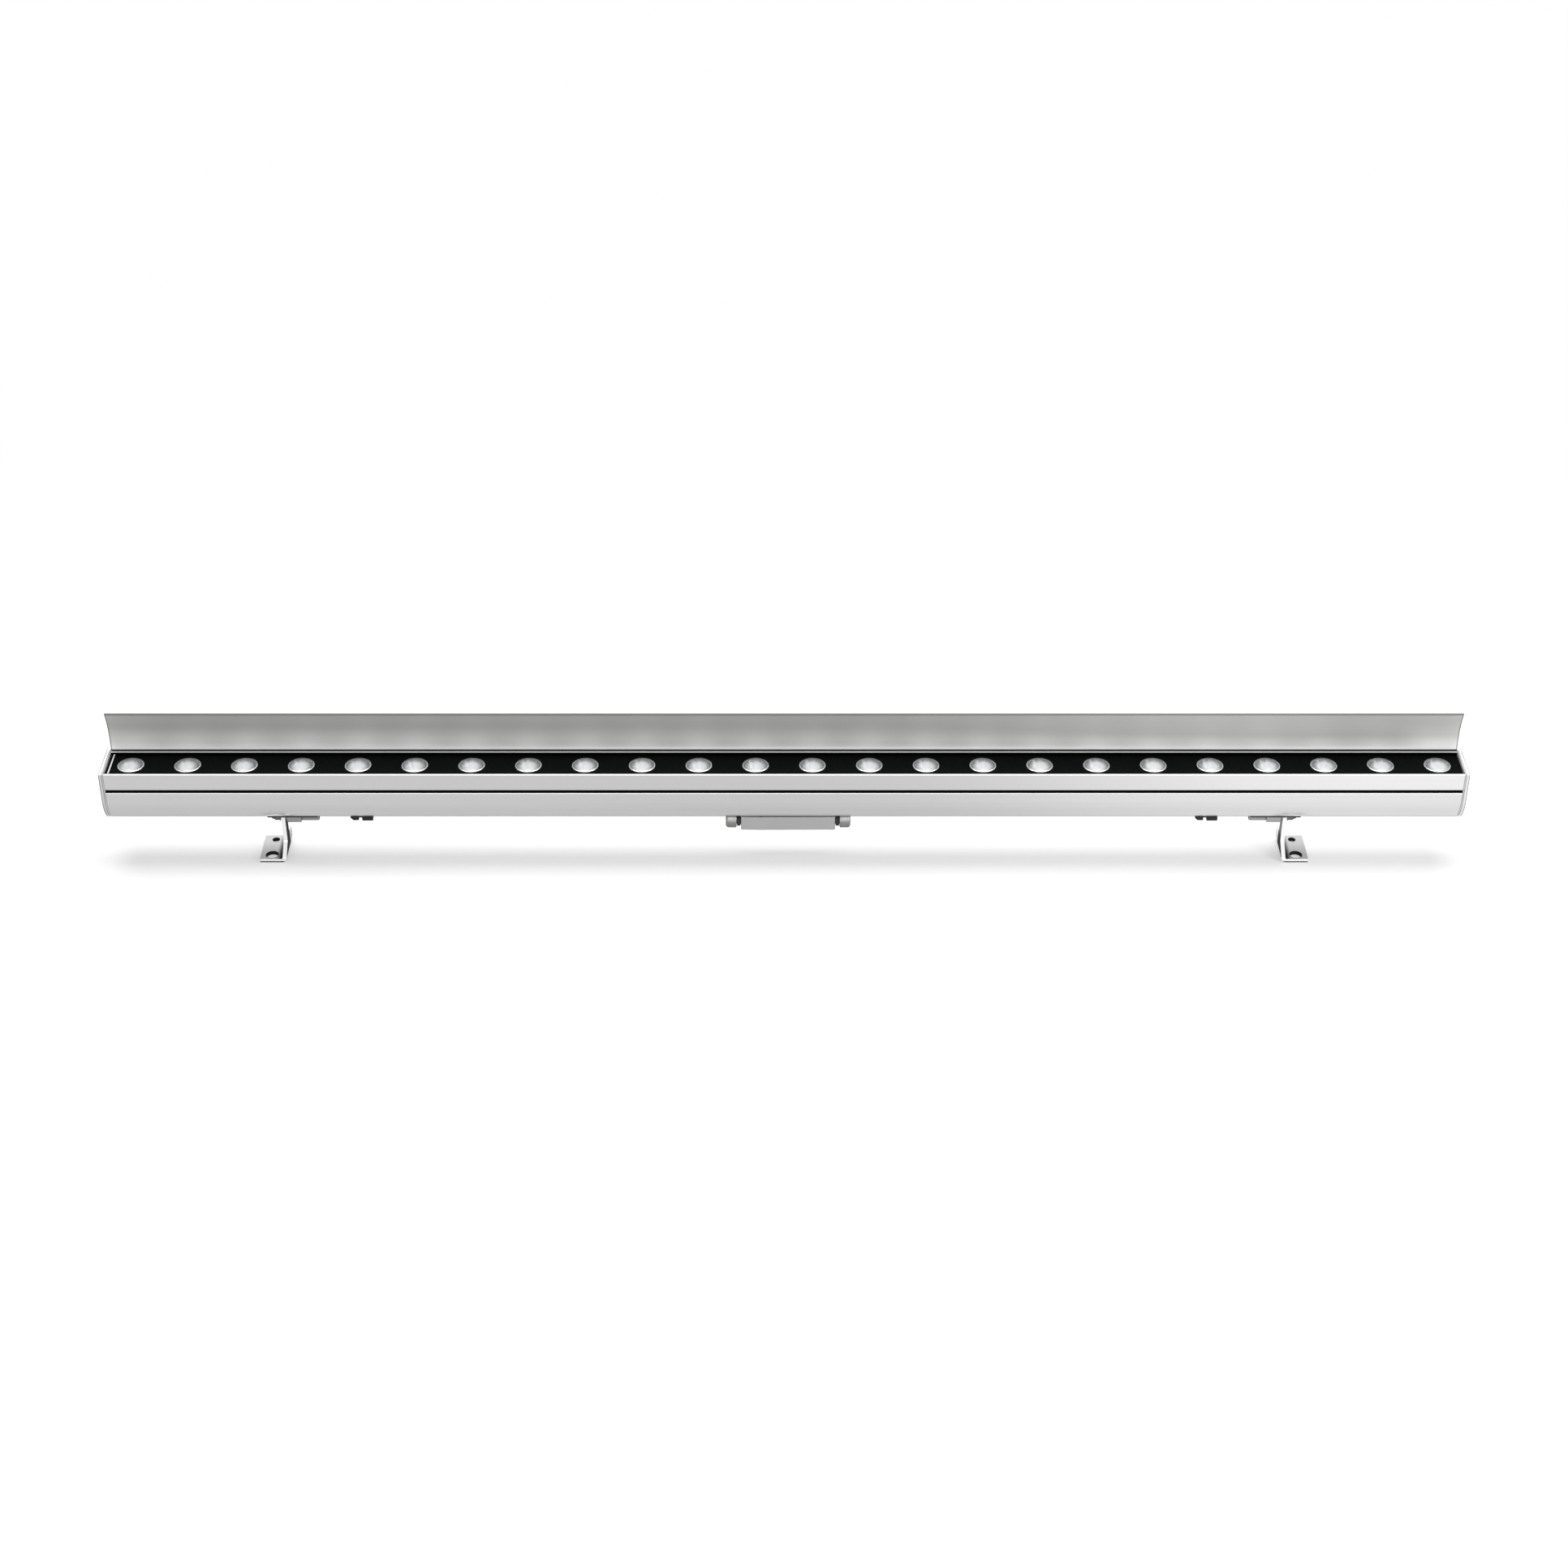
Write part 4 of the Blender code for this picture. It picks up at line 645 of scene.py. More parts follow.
cup_rows = [(LENS_RADIUS * 0.90, LENS_EDGE_TOP - 0.0008), (LENS_RADIUS * 0.86, 0.0762, 12),
            (LENS_RADIUS * 0.76, 0.0742, 18), (LENS_RADIUS * 0.62, 0.0720, 12),
            (LENS_RADIUS * 0.46, 0.0702, 18), (LENS_RADIUS * 0.26, LENS_FOOT, 6),
            (0, LENS_FOOT)]
rim_foot = PLATE_BOTTOM + 0.0003
rim_rows = [(LENS_RADIUS * 0.90, LENS_EDGE_TOP - 0.0006),
            (LENS_RADIUS * 0.93, LENS_EDGE_TOP - 0.0002),
            (LENS_RADIUS * 0.98, LENS_EDGE_TOP - 0.0003), (LENS_RADIUS * 0.99, rim_foot),
            (LENS_RADIUS * 0.90, rim_foot)]


def rectangle(low_x, low_y, high_x, high_y):
    return [(low_x, low_y), (high_x, low_y), (high_x, high_y), (low_x, high_y)]


def upright(name, loops, bottom, top):
    """Solid with the given outlines in X and Y, from one height to another."""
    return cut_out(name, loops, top - bottom, Matrix.Translation((0, 0, (bottom + top) / 2)))


for side, word in SIDES:
    near, far = sorted((side * GAP / 2, side * (HOUSING_END - WEB_INSET)))
    web = rectangle(near, TRAY_FRONT + LEDGE + GAP, far, TRAY_REAR - LEDGE - GAP)
    spots = [Matrix.Translation((x, TRAY_MIDDLE, 0)) for x in lens_xs if x * side > 0]
    bases = [ring(x, TRAY_MIDDLE, LENS_RADIUS * 0.88) for x in lens_xs if x * side > 0]
    sheet = upright("lens_web_" + word, [web] + bases, WEB_BOTTOM, WEB_TOP)
    fit(softened(sheet, 0), lens_rim, "clear_lens", "body", "lens_strip_" + word)
    domes = turned("lens_domes_" + word, dome_rows, spots)
    fit(domes, clear_lens, "clear_lens", "body", "lens_strip_" + word)
    cups = turned("lens_collimators_" + word, cup_rows, spots)
    fit(cups, silvered, "clear_lens", "body", "lens_strip_" + word)
    rims = turned("lens_rims_" + word, rim_rows, spots, closed=True)
    fit(rims, lens_rim, "clear_lens", "body", "lens_strip_" + word)


# Lens plate and its seal: a black moulded plate with a fine matt grain and a close round hole for
# each lens. It lies on a silicone frame on the ledges of the tray.
PLATE_TOP = 0.0775

plate_black = Finish("black_moulded_plate")
plate_grain = along(plate_black, 2400, 2400, 2400)
plate_cloud = along(plate_black, 30, 30, 30)
plate_black.shade({
    "Base Color": plate_black.mix(0.7 * plate_grain + 0.3 * plate_cloud, (0.0006, 0.0008, 0.0008),
                                  (0.0030, 0.0036, 0.0036)),
    "Roughness": 0.45 + 0.2 * plate_grain,
    "Specular IOR Level": 0.02,
    "Normal": relief(plate_black, plate_grain, 0.00003)})
plate_end = HOUSING_END - GAP
plate_loops = [rectangle(-plate_end, TRAY_FRONT + GAP, plate_end, TRAY_REAR - GAP)]
plate_loops += [ring(x, TRAY_MIDDLE, LENS_RADIUS + GAP, 48) for x in lens_xs]
plate = upright("black_lens_plate", plate_loops, PLATE_BOTTOM, PLATE_TOP)
fit(softened(plate, 0.0002), plate_black, "black_plastic", "body", "lens_plate")
black_silicone = grained("black_silicone", (900, 900, 900), grey(0.010), grey(0.028),
                         0.62, 0.25, 0.00003, specular=0.3)
dress(black_silicone, "lens_plate_seal")


# End stop strip: a thin bright aluminium strip, cut a little shorter than the tray is deep and
# bonded across the lens plate near its left end.
STOP_X = -0.4934
STOP_WIDTH = 0.0010
STOP_HEIGHT = 0.0008
STOP_SIDE = 0.0006
STOP_ROUND = 0.0003

bright_strip = grained("bright_strip", (2500, 60, 2500), grey(0.80), grey(0.95),
                       0.22, 0.15, 0.00001, metallic=1.0)
stop_front = TRAY_FRONT + GAP + STOP_SIDE
stop_rear = TRAY_REAR - GAP - STOP_SIDE
stop_low = PLATE_TOP + GAP
stop_high = stop_low + STOP_HEIGHT
stop_edge = [(stop_front, stop_low, 0), (stop_rear, stop_low, 0),
             (stop_rear, stop_high, STOP_ROUND), (stop_front, stop_high, STOP_ROUND)]
stop = cut_out("stop_strip", [rounded(stop_edge)], STOP_WIDTH,
               Matrix.Translation((STOP_X, 0, 0)) @ ACROSS)
fit(softened(stop, 0.0002), bright_strip, "body_aluminium", "body", "end_stop_strip")


# Visor: an aluminium sheet, rolled so that its upper part curves over the lenses, with broken
# edges and a satin grey anodised skin. It stands in the slot behind the tray.
VISOR = 0.0015
VISOR_RISE = 0.0350
VISOR_LEAN = 0.0050
VISOR_STEPS = 20

satin_grey = Finish("satin_grey_anodised")
roll_lines = along(satin_grey, 1.2, 1100, 1100)
visor_cloud = along(satin_grey, 10, 10, 22)
# Painted light: the sheet is painted paler towards the lenses, over each lens, to the right and at
# its right end, as if it caught their light. A painted highlight line and a painted shade line run
# along its foot, and painted shade lines darken its top edge and its ends.
visor_x = position(satin_grey, "X")
visor_z = position(satin_grey, "Z")
facing_lenses = satin_grey.node("SeparateXYZ", {}, {
    0: satin_grey.node("TexCoord", {}, {}, "Normal")}, "Y").ramp(-0.4, -0.7)
above_body = (visor_z - BODY_TOP) * (1 + 0.6 * visor_x.ramp(0.05, 0.40))
low = facing_lenses * (1 - above_body.ramp(0.0, 0.024))
lowest = facing_lenses * (1 - above_body.ramp(0.001, 0.009))
toward_ends = abs(visor_x).ramp(0.12, 0.32)
over_lens = visor_x.math("COSINE", visor_x * (2 * math.pi / LENS_PITCH)) * -0.5 + 0.5
lens_light = over_lens * low * visor_z.ramp(BODY_TOP + 0.0015, BODY_TOP + 0.006)
painted_right_light = visor_x.ramp(0.04, 0.34) - 0.45 * visor_x.ramp(0.36, 0.43)
end_light = (facing_lenses * visor_x.ramp(0.445, 0.475)
             * (1 - visor_z.ramp(BODY_TOP + 0.004, BODY_TOP + 0.028)))
painted_light_and_grain = (0.02 + (0.46 + 0.14 * toward_ends) * low + (0.24 + 0.08 * toward_ends) * lowest
              + 0.10 * lens_light + 0.20 * painted_right_light
              + 0.25 * end_light + 0.05 * roll_lines + 0.06 * visor_cloud)
painted_highlight_line = facing_lenses * (1 - visor_z.ramp(BODY_TOP + 0.0038, BODY_TOP + 0.0042))
shaded_foot = 1 - visor_z.ramp(BODY_TOP + 0.0014, BODY_TOP + 0.0016)
upper_edge = visor_z.ramp(BODY_TOP + VISOR_RISE - 0.0012, BODY_TOP + VISOR_RISE - 0.0008)
visor_end = abs(visor_x).ramp(HOUSING_END - 0.0010, HOUSING_END - 0.0006)
painted_shade_lines = shaded_foot.greater(0.75 * upper_edge.greater(visor_end))
sheet_colour = satin_grey.mix(painted_light_and_grain.greater(0.95 * painted_highlight_line), (0.31, 0.31, 0.305),
                              (0.97, 0.97, 0.96))
satin_grey.shade({
    "Base Color": satin_grey.mix(painted_shade_lines, sheet_colour, grey(0.02)),
    "Metallic": 0.05,
    "Roughness": 0.42 + 0.10 * roll_lines,
    "Normal": relief(satin_grey, roll_lines, 0.00002)})


def visor_face(offset):
    """One face of the visor sheet, from its upper edge down; offset is from the sheet's middle."""
    middle = SLOT_FRONT + GAP + VISOR / 2
    bend = BODY_TOP + VISOR_RISE / 3
    rise = BODY_TOP + VISOR_RISE - bend
    radius = (rise ** 2 + VISOR_LEAN ** 2) / (2 * VISOR_LEAN)
    last = math.asin(rise / radius)
    points = []
    for step in range(VISOR_STEPS + 1):
        angle = last * (1 - step / VISOR_STEPS)
        out = radius + offset
        points.append((middle - radius + out * math.cos(angle), bend + out * math.sin(angle)))
    points.append((middle + offset, SLOT_BOTTOM + GAP))
    return points


visor_edge = visor_face(VISOR / 2) + visor_face(-VISOR / 2)[::-1]
visor = cut_out("visor_sheet", [visor_edge], 2 * HOUSING_END, ACROSS)
fit(softened(visor, 0.0003), satin_grey, "visor_sheet", "body", "visor")


# Visor set screws: three short stainless screws without a head, each with a hexagon socket. They
# sit in the lip behind the slot and press on the sheet.
SET_SCREW_XS = [-0.320, 0, 0.320]
SET_SCREW_Z = (SLOT_BOTTOM + BODY_TOP) / 2

set_rows = [(0, -0.0011), (0.0010, -0.0010, 6), (0.0010, -0.0001, 6), (0.0011, 0),
            (SCREW_RADIUS - 0.0002, 0), (SCREW_RADIUS, -0.0002), (SCREW_RADIUS, -0.0018),
            (0, -0.0018)]
for number, x in enumerate(SET_SCREW_XS, start=1):
    fit_screw(f"set_screw_{number}", set_rows, facing((0, 1, 0), (x, HALF, SET_SCREW_Z)),
              f"visor_set_screw_{number}")


# Driver: a green circuit board on a thermal pad inside the body, with its transformer and its
# smoothing capacitor.
TRANSFORMER_X = 0.1100
TAPE_HALF = 0.0080
CAN_RIM = 0.0590

board_green = Finish("green_circuit_board")
tracks = board_green.node("TexBrick", {"offset": 0.35, "squash": 0.7},
                          {"Vector": board_green.node("TexCoord", {}, {}, "Object"),
                           "Scale": 90.0, "Mortar Size": 0.03, "Color1": (0, 0, 0),
                           "Color2": (0, 0, 0), "Mortar": (1, 1, 1)})
board_green.shade({
    "Base Color": board_green.mix(tracks, (0.02, 0.16, 0.06), (0.05, 0.30, 0.10)),
    "Roughness": 0.35 + 0.2 * along(board_green, 300, 300, 300)})
dress(board_green, "driver_board")

pad_grey = grained("thermal_pad", (800, 800, 800), (0.28, 0.30, 0.36), (0.40, 0.42, 0.48),
                   0.8, 0.15, 0.00005)
dress(pad_grey, "driver_pad")

ferrite = Finish("ferrite_and_tape")
off_coil = abs(position(ferrite, "X") - TRANSFORMER_X).ramp(TAPE_HALF, TAPE_HALF + 0.0004)
ferrite_grain = along(ferrite, 1200, 1200, 1200)
ferrite.shade({
    "Base Color": ferrite.mix(off_coil, (0.50, 0.36, 0.05), grey(0.03)),
    "Roughness": 0.45 + 0.3 * ferrite_grain,
    "Normal": relief(ferrite, ferrite_grain, 0.00003)})
dress(ferrite, "driver_transformer")

can = Finish("capacitor_sleeve")
can_top = position(can, "Z").ramp(CAN_RIM, CAN_RIM + 0.0002)
can_grain = along(can, 600, 600, 600)
can.shade({
    "Base Color": can.mix(can_top, (0.02, 0.02, 0.05), grey(0.60)),
    "Roughness": 0.30 + 0.2 * can_grain})
dress(can, "driver_capacitor")


# Leads and grommet: a sheathed supply lead from the terminal block to the driver, a thinner lead
# from there to the LED boards, and the silicone bush where the first passes through the floor.
sheath = grained("lead_sheath", (1000, 1000, 1000), grey(0.012), grey(0.035),
                 0.45, 0.2, 0.00002)
dress(sheath, "supply_lead", "led_lead")
dress(black_silicone, "lead_grommet")


# Wiring box: a small milled aluminium box under the middle of the light, open at the top and
# closed by the underside, with a gasket between. Two long screws hold it from below.
BOX_X = 0.0030
BOX_HALF = 0.0350
BOX_HALF_DEPTH = 0.0100
BOX_TOP = 0.0371
BOX_BOTTOM = 0.0256
BOX_FLOOR = 0.0016
BOX_WALL = 0.0018
BOX_ROUND = 0.0012
BOX_SCREW_X = 0.0200
UNDER_SCREW_Y = 0.0075
SCREW_BITE = 0.0048
POST_INNER = 0.0175
POST_OUTER = 0.0225
POST_DEPTH = 0.0036
GLAND_Y = -0.0039
GLAND_Z = 0.0314
GLAND_THREAD = 0.0039
BORE_REACH = 0.0100


def cut(piece, cutter):
    """The piece with the cutter's shape taken out of it."""
    hole = piece.modifiers.new("cut", "BOOLEAN")
    hole.object = cutter
    hole.solver = "EXACT"
    done = settled(piece)
    bpy.data.objects.remove(cutter, do_unlink=True)
    return done


def rounded_rectangle(low_x, low_y, high_x, high_y, radius):
    return rounded([(x, y, radius) for x, y in rectangle(low_x, low_y, high_x, high_y)])


box_grey = Finish("box_aluminium")
box_beads = along(box_grey, 2200, 2200, 2200)
box_cloud = along(box_grey, 45, 45, 45)
box_grey.shade({
    "Base Color": box_grey.mix(0.6 * box_beads + 0.4 * box_cloud, (0.57, 0.57, 0.565),
                               grey(0.68)),
    "Metallic": 1.0,
    "Roughness": 0.36 + 0.12 * box_beads,
    "Normal": relief(box_grey, box_beads, 0.00002)})
box_outline = rounded_rectangle(BOX_X - BOX_HALF, -BOX_HALF_DEPTH, BOX_X + BOX_HALF,
                                BOX_HALF_DEPTH, BOX_ROUND)
box_screws = [(BOX_X + end * BOX_SCREW_X, end * UNDER_SCREW_Y) for end in (-1, 1)]
box_holes = [ring(x, y, HEAD_SEAT) for x, y in box_screws]
box = upright("wiring_box_shell", [box_outline] + box_holes, BOX_BOTTOM, BOX_TOP)
room_x = BOX_HALF - BOX_WALL
room_y = BOX_HALF_DEPTH - BOX_WALL
post_y = room_y - POST_DEPTH
room_half = [(room_x, -room_y), (room_x, room_y), (POST_OUTER, room_y), (POST_OUTER, post_y),
             (POST_INNER, post_y), (POST_INNER, room_y)]
room = [(BOX_X + x, y) for x, y in room_half + [(-x, -y) for x, y in room_half]]
box = cut(box, upright("box_room", [room], BOX_BOTTOM + BOX_FLOOR, BOX_TOP + 0.001))
bore_rows = [(0, BORE_REACH), (GLAND_THREAD + GAP, BORE_REACH), (GLAND_THREAD + GAP, -BORE_REACH),
             (0, -BORE_REACH)]
for side in (-1, 1):
    bore_place = [facing((side, 0, 0), (BOX_X + side * BOX_HALF, GLAND_Y, GLAND_Z))]
    box = cut(box, turned("box_bore", bore_rows, bore_place))
fit(softened(box, 0.0003), box_grey, "body_aluminium", "body", "wiring_box")
dress(black_silicone, "wiring_box_gasket")
for number, (x, y) in enumerate(box_screws, start=1):
    fit_screw(f"box_screw_{number}", sunk_screw(BODY_LIFT - BOX_BOTTOM + SCREW_BITE),
              facing((0, 0, -1), (x, y, BOX_BOTTOM)), f"wiring_box_screw_{number}")

ceramic = grained("terminal_ceramic", (350, 350, 350), (0.70, 0.68, 0.62), (0.82, 0.80, 0.75),
                  0.25, 0.2, 0.00002)
dress(ceramic, "terminal_block")


# Cable glands: black nylon bodies that screw into the ends of the box, rubber sealing rings, and
# nickel plated brass nuts with twelve flats and a rounded end, which squeeze them onto a cable.
GLAND_BORE = 0.00305
GLAND_NUT_RADIUS = 0.0067
GLAND_FLANGE_RADIUS = 0.0058

nylon = grained("black_nylon", (1300, 1300, 1300), (0.010, 0.010, 0.011), (0.028, 0.028, 0.030),
                0.35, 0.2, 0.00002)
nickel = grained("nickel_plate", (260, 260, 260), (0.31, 0.31, 0.305), (0.42, 0.42, 0.41),
                 0.42, 0.12, 0.00004, metallic=1.0)

gland_rows = [(GLAND_BORE, 0.0063), (GLAND_THREAD - 0.0003, 0.0063)]
for turn_step in range(6):
    level = 0.0060 - 0.0005 * turn_step
    gland_rows += [(GLAND_THREAD, level), (GLAND_THREAD - 0.00025, level - 0.00025)]
gland_rows += [(GLAND_THREAD, 0.0029), (GLAND_FLANGE_RADIUS - 0.0002, 0.0029, 6),
               (GLAND_FLANGE_RADIUS, 0.0027, 6), (GLAND_FLANGE_RADIUS, 0.0005, 6),
               (GLAND_FLANGE_RADIUS - 0.0002, 0.0003, 6), (GLAND_THREAD, 0.0003),
               (GLAND_THREAD, -0.0026), (GLAND_BORE, -0.0026)]
nut_rows = [(GLAND_BORE, 0.0112), (0.0046, 0.0112), (0.0053, 0.0110), (0.0059, 0.0106),
            (0.0063, 0.0100), (0.0066, 0.0094, 12), (GLAND_NUT_RADIUS, 0.0088, 12),
            (GLAND_NUT_RADIUS, 0.0036, 12), (0.0063, 0.0032), (0.0042, 0.0032),
            (0.0042, 0.0096), (GLAND_BORE, 0.0096)]
for side, word in SIDES:
    gland_place = [facing((side, 0, 0), (BOX_X + side * BOX_HALF, GLAND_Y, GLAND_Z))]
    body = turned("gland_thread_" + word, gland_rows, gland_place, closed=True)
    fit(body, nylon, "black_plastic", "body", "gland_body_" + word)
    nut = turned("gland_cap_nut_" + word, nut_rows, gland_place, closed=True)
    fit(nut, nickel, "plated_steel", "body", "gland_nut_" + word)
    dress(black_silicone, "gland_seal_" + word)


# Pivot shoes: small anodised plates under the body with a lug for the tilt bolt. Two pan head
# screws hold each one, the outer in front and the inner behind.
BRACKET_X = 0.3700
PIVOT_Z = 0.0317
SHOE_BOTTOM = 0.0367
SHOE_TOP = 0.0382
LUG_INNER = 0.3581
LUG_OUTER = 0.3686
LUG_BELOW = 0.0036
LUG_ROUND = 0.0012
LUG_SUNK = 0.0005
PIVOT_BORE = 0.0023
ARM_RADIUS = 0.0045
SHOE_INNER = 0.0260
SHOE_OUTER = 0.0125
SHOE_HALF_DEPTH = 0.0103
SHOE_ROUND = 0.0020
SHOE_SCREW_OUT = 0.0066
SHOE_SCREW_IN = 0.0175

shoe_grey = Finish("shoe_aluminium")
shoe_brush = along(shoe_grey, 60, 2200, 2200)
# Painted shade: the plate is painted near black and non-metallic above its lowest 0.3 mm for the
# shade under the body, and the whole shoe is toned dark as painted shade.
painted_shade_under_body = position(shoe_grey, "Z").ramp(SHOE_BOTTOM, SHOE_BOTTOM + 0.0003)
shoe_alloy = shoe_grey.mix(shoe_brush, grey(0.36), grey(0.50))
shoe_grey.shade({
    "Base Color": shoe_grey.mix(painted_shade_under_body, shoe_alloy, grey(0.01)),
    "Metallic": 1 - painted_shade_under_body,
    "Roughness": 0.24 + 0.14 * shoe_brush,
    "Normal": relief(shoe_grey, shoe_brush, 0.00001)})
pan_rows = [(0, 0.0006), (0.0011, 0.0007, 6), (0.0011, 0.0015, 6), (0.0012, 0.0016),
            (0.0018, 0.0016), (0.0022, 0.0014), (0.0026, 0.0010), (HEAD_RADIUS, 0.0006),
            (HEAD_RADIUS, 0), (SCREW_RADIUS, 0), (SCREW_RADIUS, -0.0069), (0, -0.0069)]


def joined(name, *pieces):
    """One piece from several."""
    shell = bmesh.new()
    for piece in pieces:
        shell.from_mesh(piece.data)
        bpy.data.objects.remove(piece, do_unlink=True)
    mesh = bpy.data.meshes.new(name)
    shell.to_mesh(mesh)
    shell.free()
    return new_object(name, mesh)


for side, word in SIDES:
    low_x, high_x = sorted((side * (BRACKET_X - SHOE_INNER), side * (BRACKET_X + SHOE_OUTER)))
    shoe_screws = [(side * (BRACKET_X + SHOE_SCREW_OUT), -UNDER_SCREW_Y),
                   (side * (BRACKET_X - SHOE_SCREW_IN), UNDER_SCREW_Y)]
    edge = rounded_rectangle(low_x, -SHOE_HALF_DEPTH, high_x, SHOE_HALF_DEPTH, SHOE_ROUND)
    holes = [ring(x, y, SCREW_RADIUS + GAP) for x, y in shoe_screws]
    shoe = upright("shoe_plate_" + word, [edge] + holes, SHOE_BOTTOM, SHOE_TOP)
    lug_edge = rounded([(-ARM_RADIUS, SHOE_BOTTOM + LUG_SUNK, 0),
                        (ARM_RADIUS, SHOE_BOTTOM + LUG_SUNK, 0),
                        (ARM_RADIUS, PIVOT_Z - LUG_BELOW, LUG_ROUND),
                        (-ARM_RADIUS, PIVOT_Z - LUG_BELOW, LUG_ROUND)])
    lug_place = Matrix.Translation((side * (LUG_INNER + LUG_OUTER) / 2, 0, 0)) @ ACROSS
    lug = cut_out("shoe_lug_" + word, [lug_edge, ring(0, PIVOT_Z, PIVOT_BORE)],
                  LUG_OUTER - LUG_INNER, lug_place)
    shoe = joined("shoe_" + word, shoe, lug)
    fit(softened(shoe, 0.0002), shoe_grey, "body_aluminium", "body", "pivot_shoe_" + word)
    for number, (x, y) in enumerate(shoe_screws, start=1):
        fit_screw(f"shoe_pan_screw_{word}_{number}", pan_rows,
                  facing((0, 0, -1), (x, y, SHOE_BOTTOM - GAP)), f"shoe_screw_{word}_{number}")


# Feet: polished stainless sheet, 3 mm thick, cut out flat with two fixing holes and a flared
# arm, its edges rounded, and then bent up once. The light tilts between their arms.
SHEET = 0.0030
FOOT_OUTER = 0.3900
FOOT_HALF = 0.0155
BEND_RADIUS = 0.0040
BEND_MIDDLE = BEND_RADIUS - SHEET / 2
FLAT_FOOT = FOOT_OUTER - BRACKET_X - BEND_RADIUS
BEND_LENGTH = BEND_MIDDLE * math.pi / 2
HOLE_OUT = 0.0115
FOOT_HOLES = [(-0.0099, 0.0045, 48), (0.0099, 0.0025, 32)]
SHOULDER = 0.0120
SHOULDER_ROUND = 0.0015
NECK_REAR = 0.0145
NECK_ROUND = 0.0030

polished = Finish("polished_stainless")
polish_lines = along(polished, 1800, 120, 1800)
polish_cloud = along(polished, 90, 90, 90)
# Painted light: a painted highlight on the front edge with a painted shade line under it, painted
# shade beside the bend, on the hole walls and on the inner face of the arm, and the steel painted
# paler towards the rear and up the arm.
foot_x = position(polished, "X")
foot_out = abs(foot_x) - BRACKET_X
from_hole_x = foot_out - HOLE_OUT
foot_y = position(polished, "Y")
foot_z = position(polished, "Z")
on_right = foot_x.ramp(-0.1, 0.1)
painted_hole_shade = 0
for hole_y, hole_radius, _ in FOOT_HOLES:
    from_hole_y = foot_y - hole_y
    reach = (from_hole_x * from_hole_x + from_hole_y * from_hole_y) ** 0.5
    painted_hole_shade = painted_hole_shade + (1 - reach.ramp(hole_radius + 0.0001, hole_radius + 0.0007))
painted_rear_light = foot_y.ramp(-0.014, 0.014)
on_foot = (1 - foot_z.ramp(0.0055, 0.0100)) * foot_out.ramp(0.0005, 0.0015)
painted_bend_shade = on_foot * (1 - foot_out.ramp(SHEET + 0.0012, SHEET + 0.0056))
painted_arm_shade = ((1 - foot_out.ramp(0.0003, 0.0007)) * (1 - foot_y.ramp(0.0050, 0.0080))
              * (1 - 0.25 * on_right * foot_z.ramp(0.0120, 0.0200)))
faces_front = polished.node("SeparateXYZ", {}, {
    0: polished.node("TexCoord", {}, {}, "Normal")}, "Y").ramp(-0.35, -0.55)
front_edge = faces_front * (1 - painted_hole_shade.math("MINIMUM", painted_hole_shade, 1))
painted_front_edge_highlight = front_edge * foot_z.ramp(0.0009, 0.0012)
painted_edge_shade_line = front_edge * (1 - foot_z.ramp(0.0009, 0.0012))
painted_foot_shade = (painted_bend_shade.greater(painted_arm_shade).greater(painted_hole_shade)
              * (1 - painted_front_edge_highlight)).greater(0.85 * painted_edge_shade_line)
steel = polished.mix(0.12 * polish_lines + 0.12 * polish_cloud + 0.50 * painted_rear_light
                     + 0.9 * painted_front_edge_highlight + 0.60 * foot_z.ramp(0.0060, 0.0140),
                     grey(0.28), grey(0.95))
polished.shade({
    "Base Color": polished.mix(painted_foot_shade, steel, grey(0.015)),
    "Metallic": 1 - painted_foot_shade.greater(0.7 * painted_front_edge_highlight),
    "Roughness": 0.06 + 0.07 * polish_lines + 0.5 * painted_foot_shade,
    "Specular IOR Level": 0.05,
    "Normal": relief(polished, polish_lines, 0.000006)})


def arm_level(height):
    """Distance along the flat sheet that lies at a height of the arm once it is bent."""
    return FLAT_FOOT + BEND_LENGTH + height - BEND_RADIUS


crown = []
for step in range(17):
    turn = math.pi * step / 16
    crown.append((ARM_RADIUS * math.cos(turn), arm_level(PIVOT_Z + ARM_RADIUS * math.sin(turn)), 0))
foot_edge = [(-FOOT_HALF, 0, 0.0006), (FOOT_HALF, 0, 0.0006),
             (FOOT_HALF, arm_level(SHOULDER), SHOULDER_ROUND),
             (ARM_RADIUS, arm_level(NECK_REAR), NECK_ROUND)]
foot_edge += crown
foot_edge += [(-ARM_RADIUS, arm_level(SHOULDER), NECK_ROUND),
              (-FOOT_HALF, arm_level(BEND_RADIUS), 0.0006)]
hole_level = FOOT_OUTER - BRACKET_X - HOLE_OUT
foot_loops = [rounded(foot_edge, 8)]
foot_loops += [ring(y, hole_level, radius, sides) for y, radius, sides in FOOT_HOLES]
foot_loops.append(ring(0, arm_level(PIVOT_Z), PIVOT_BORE))


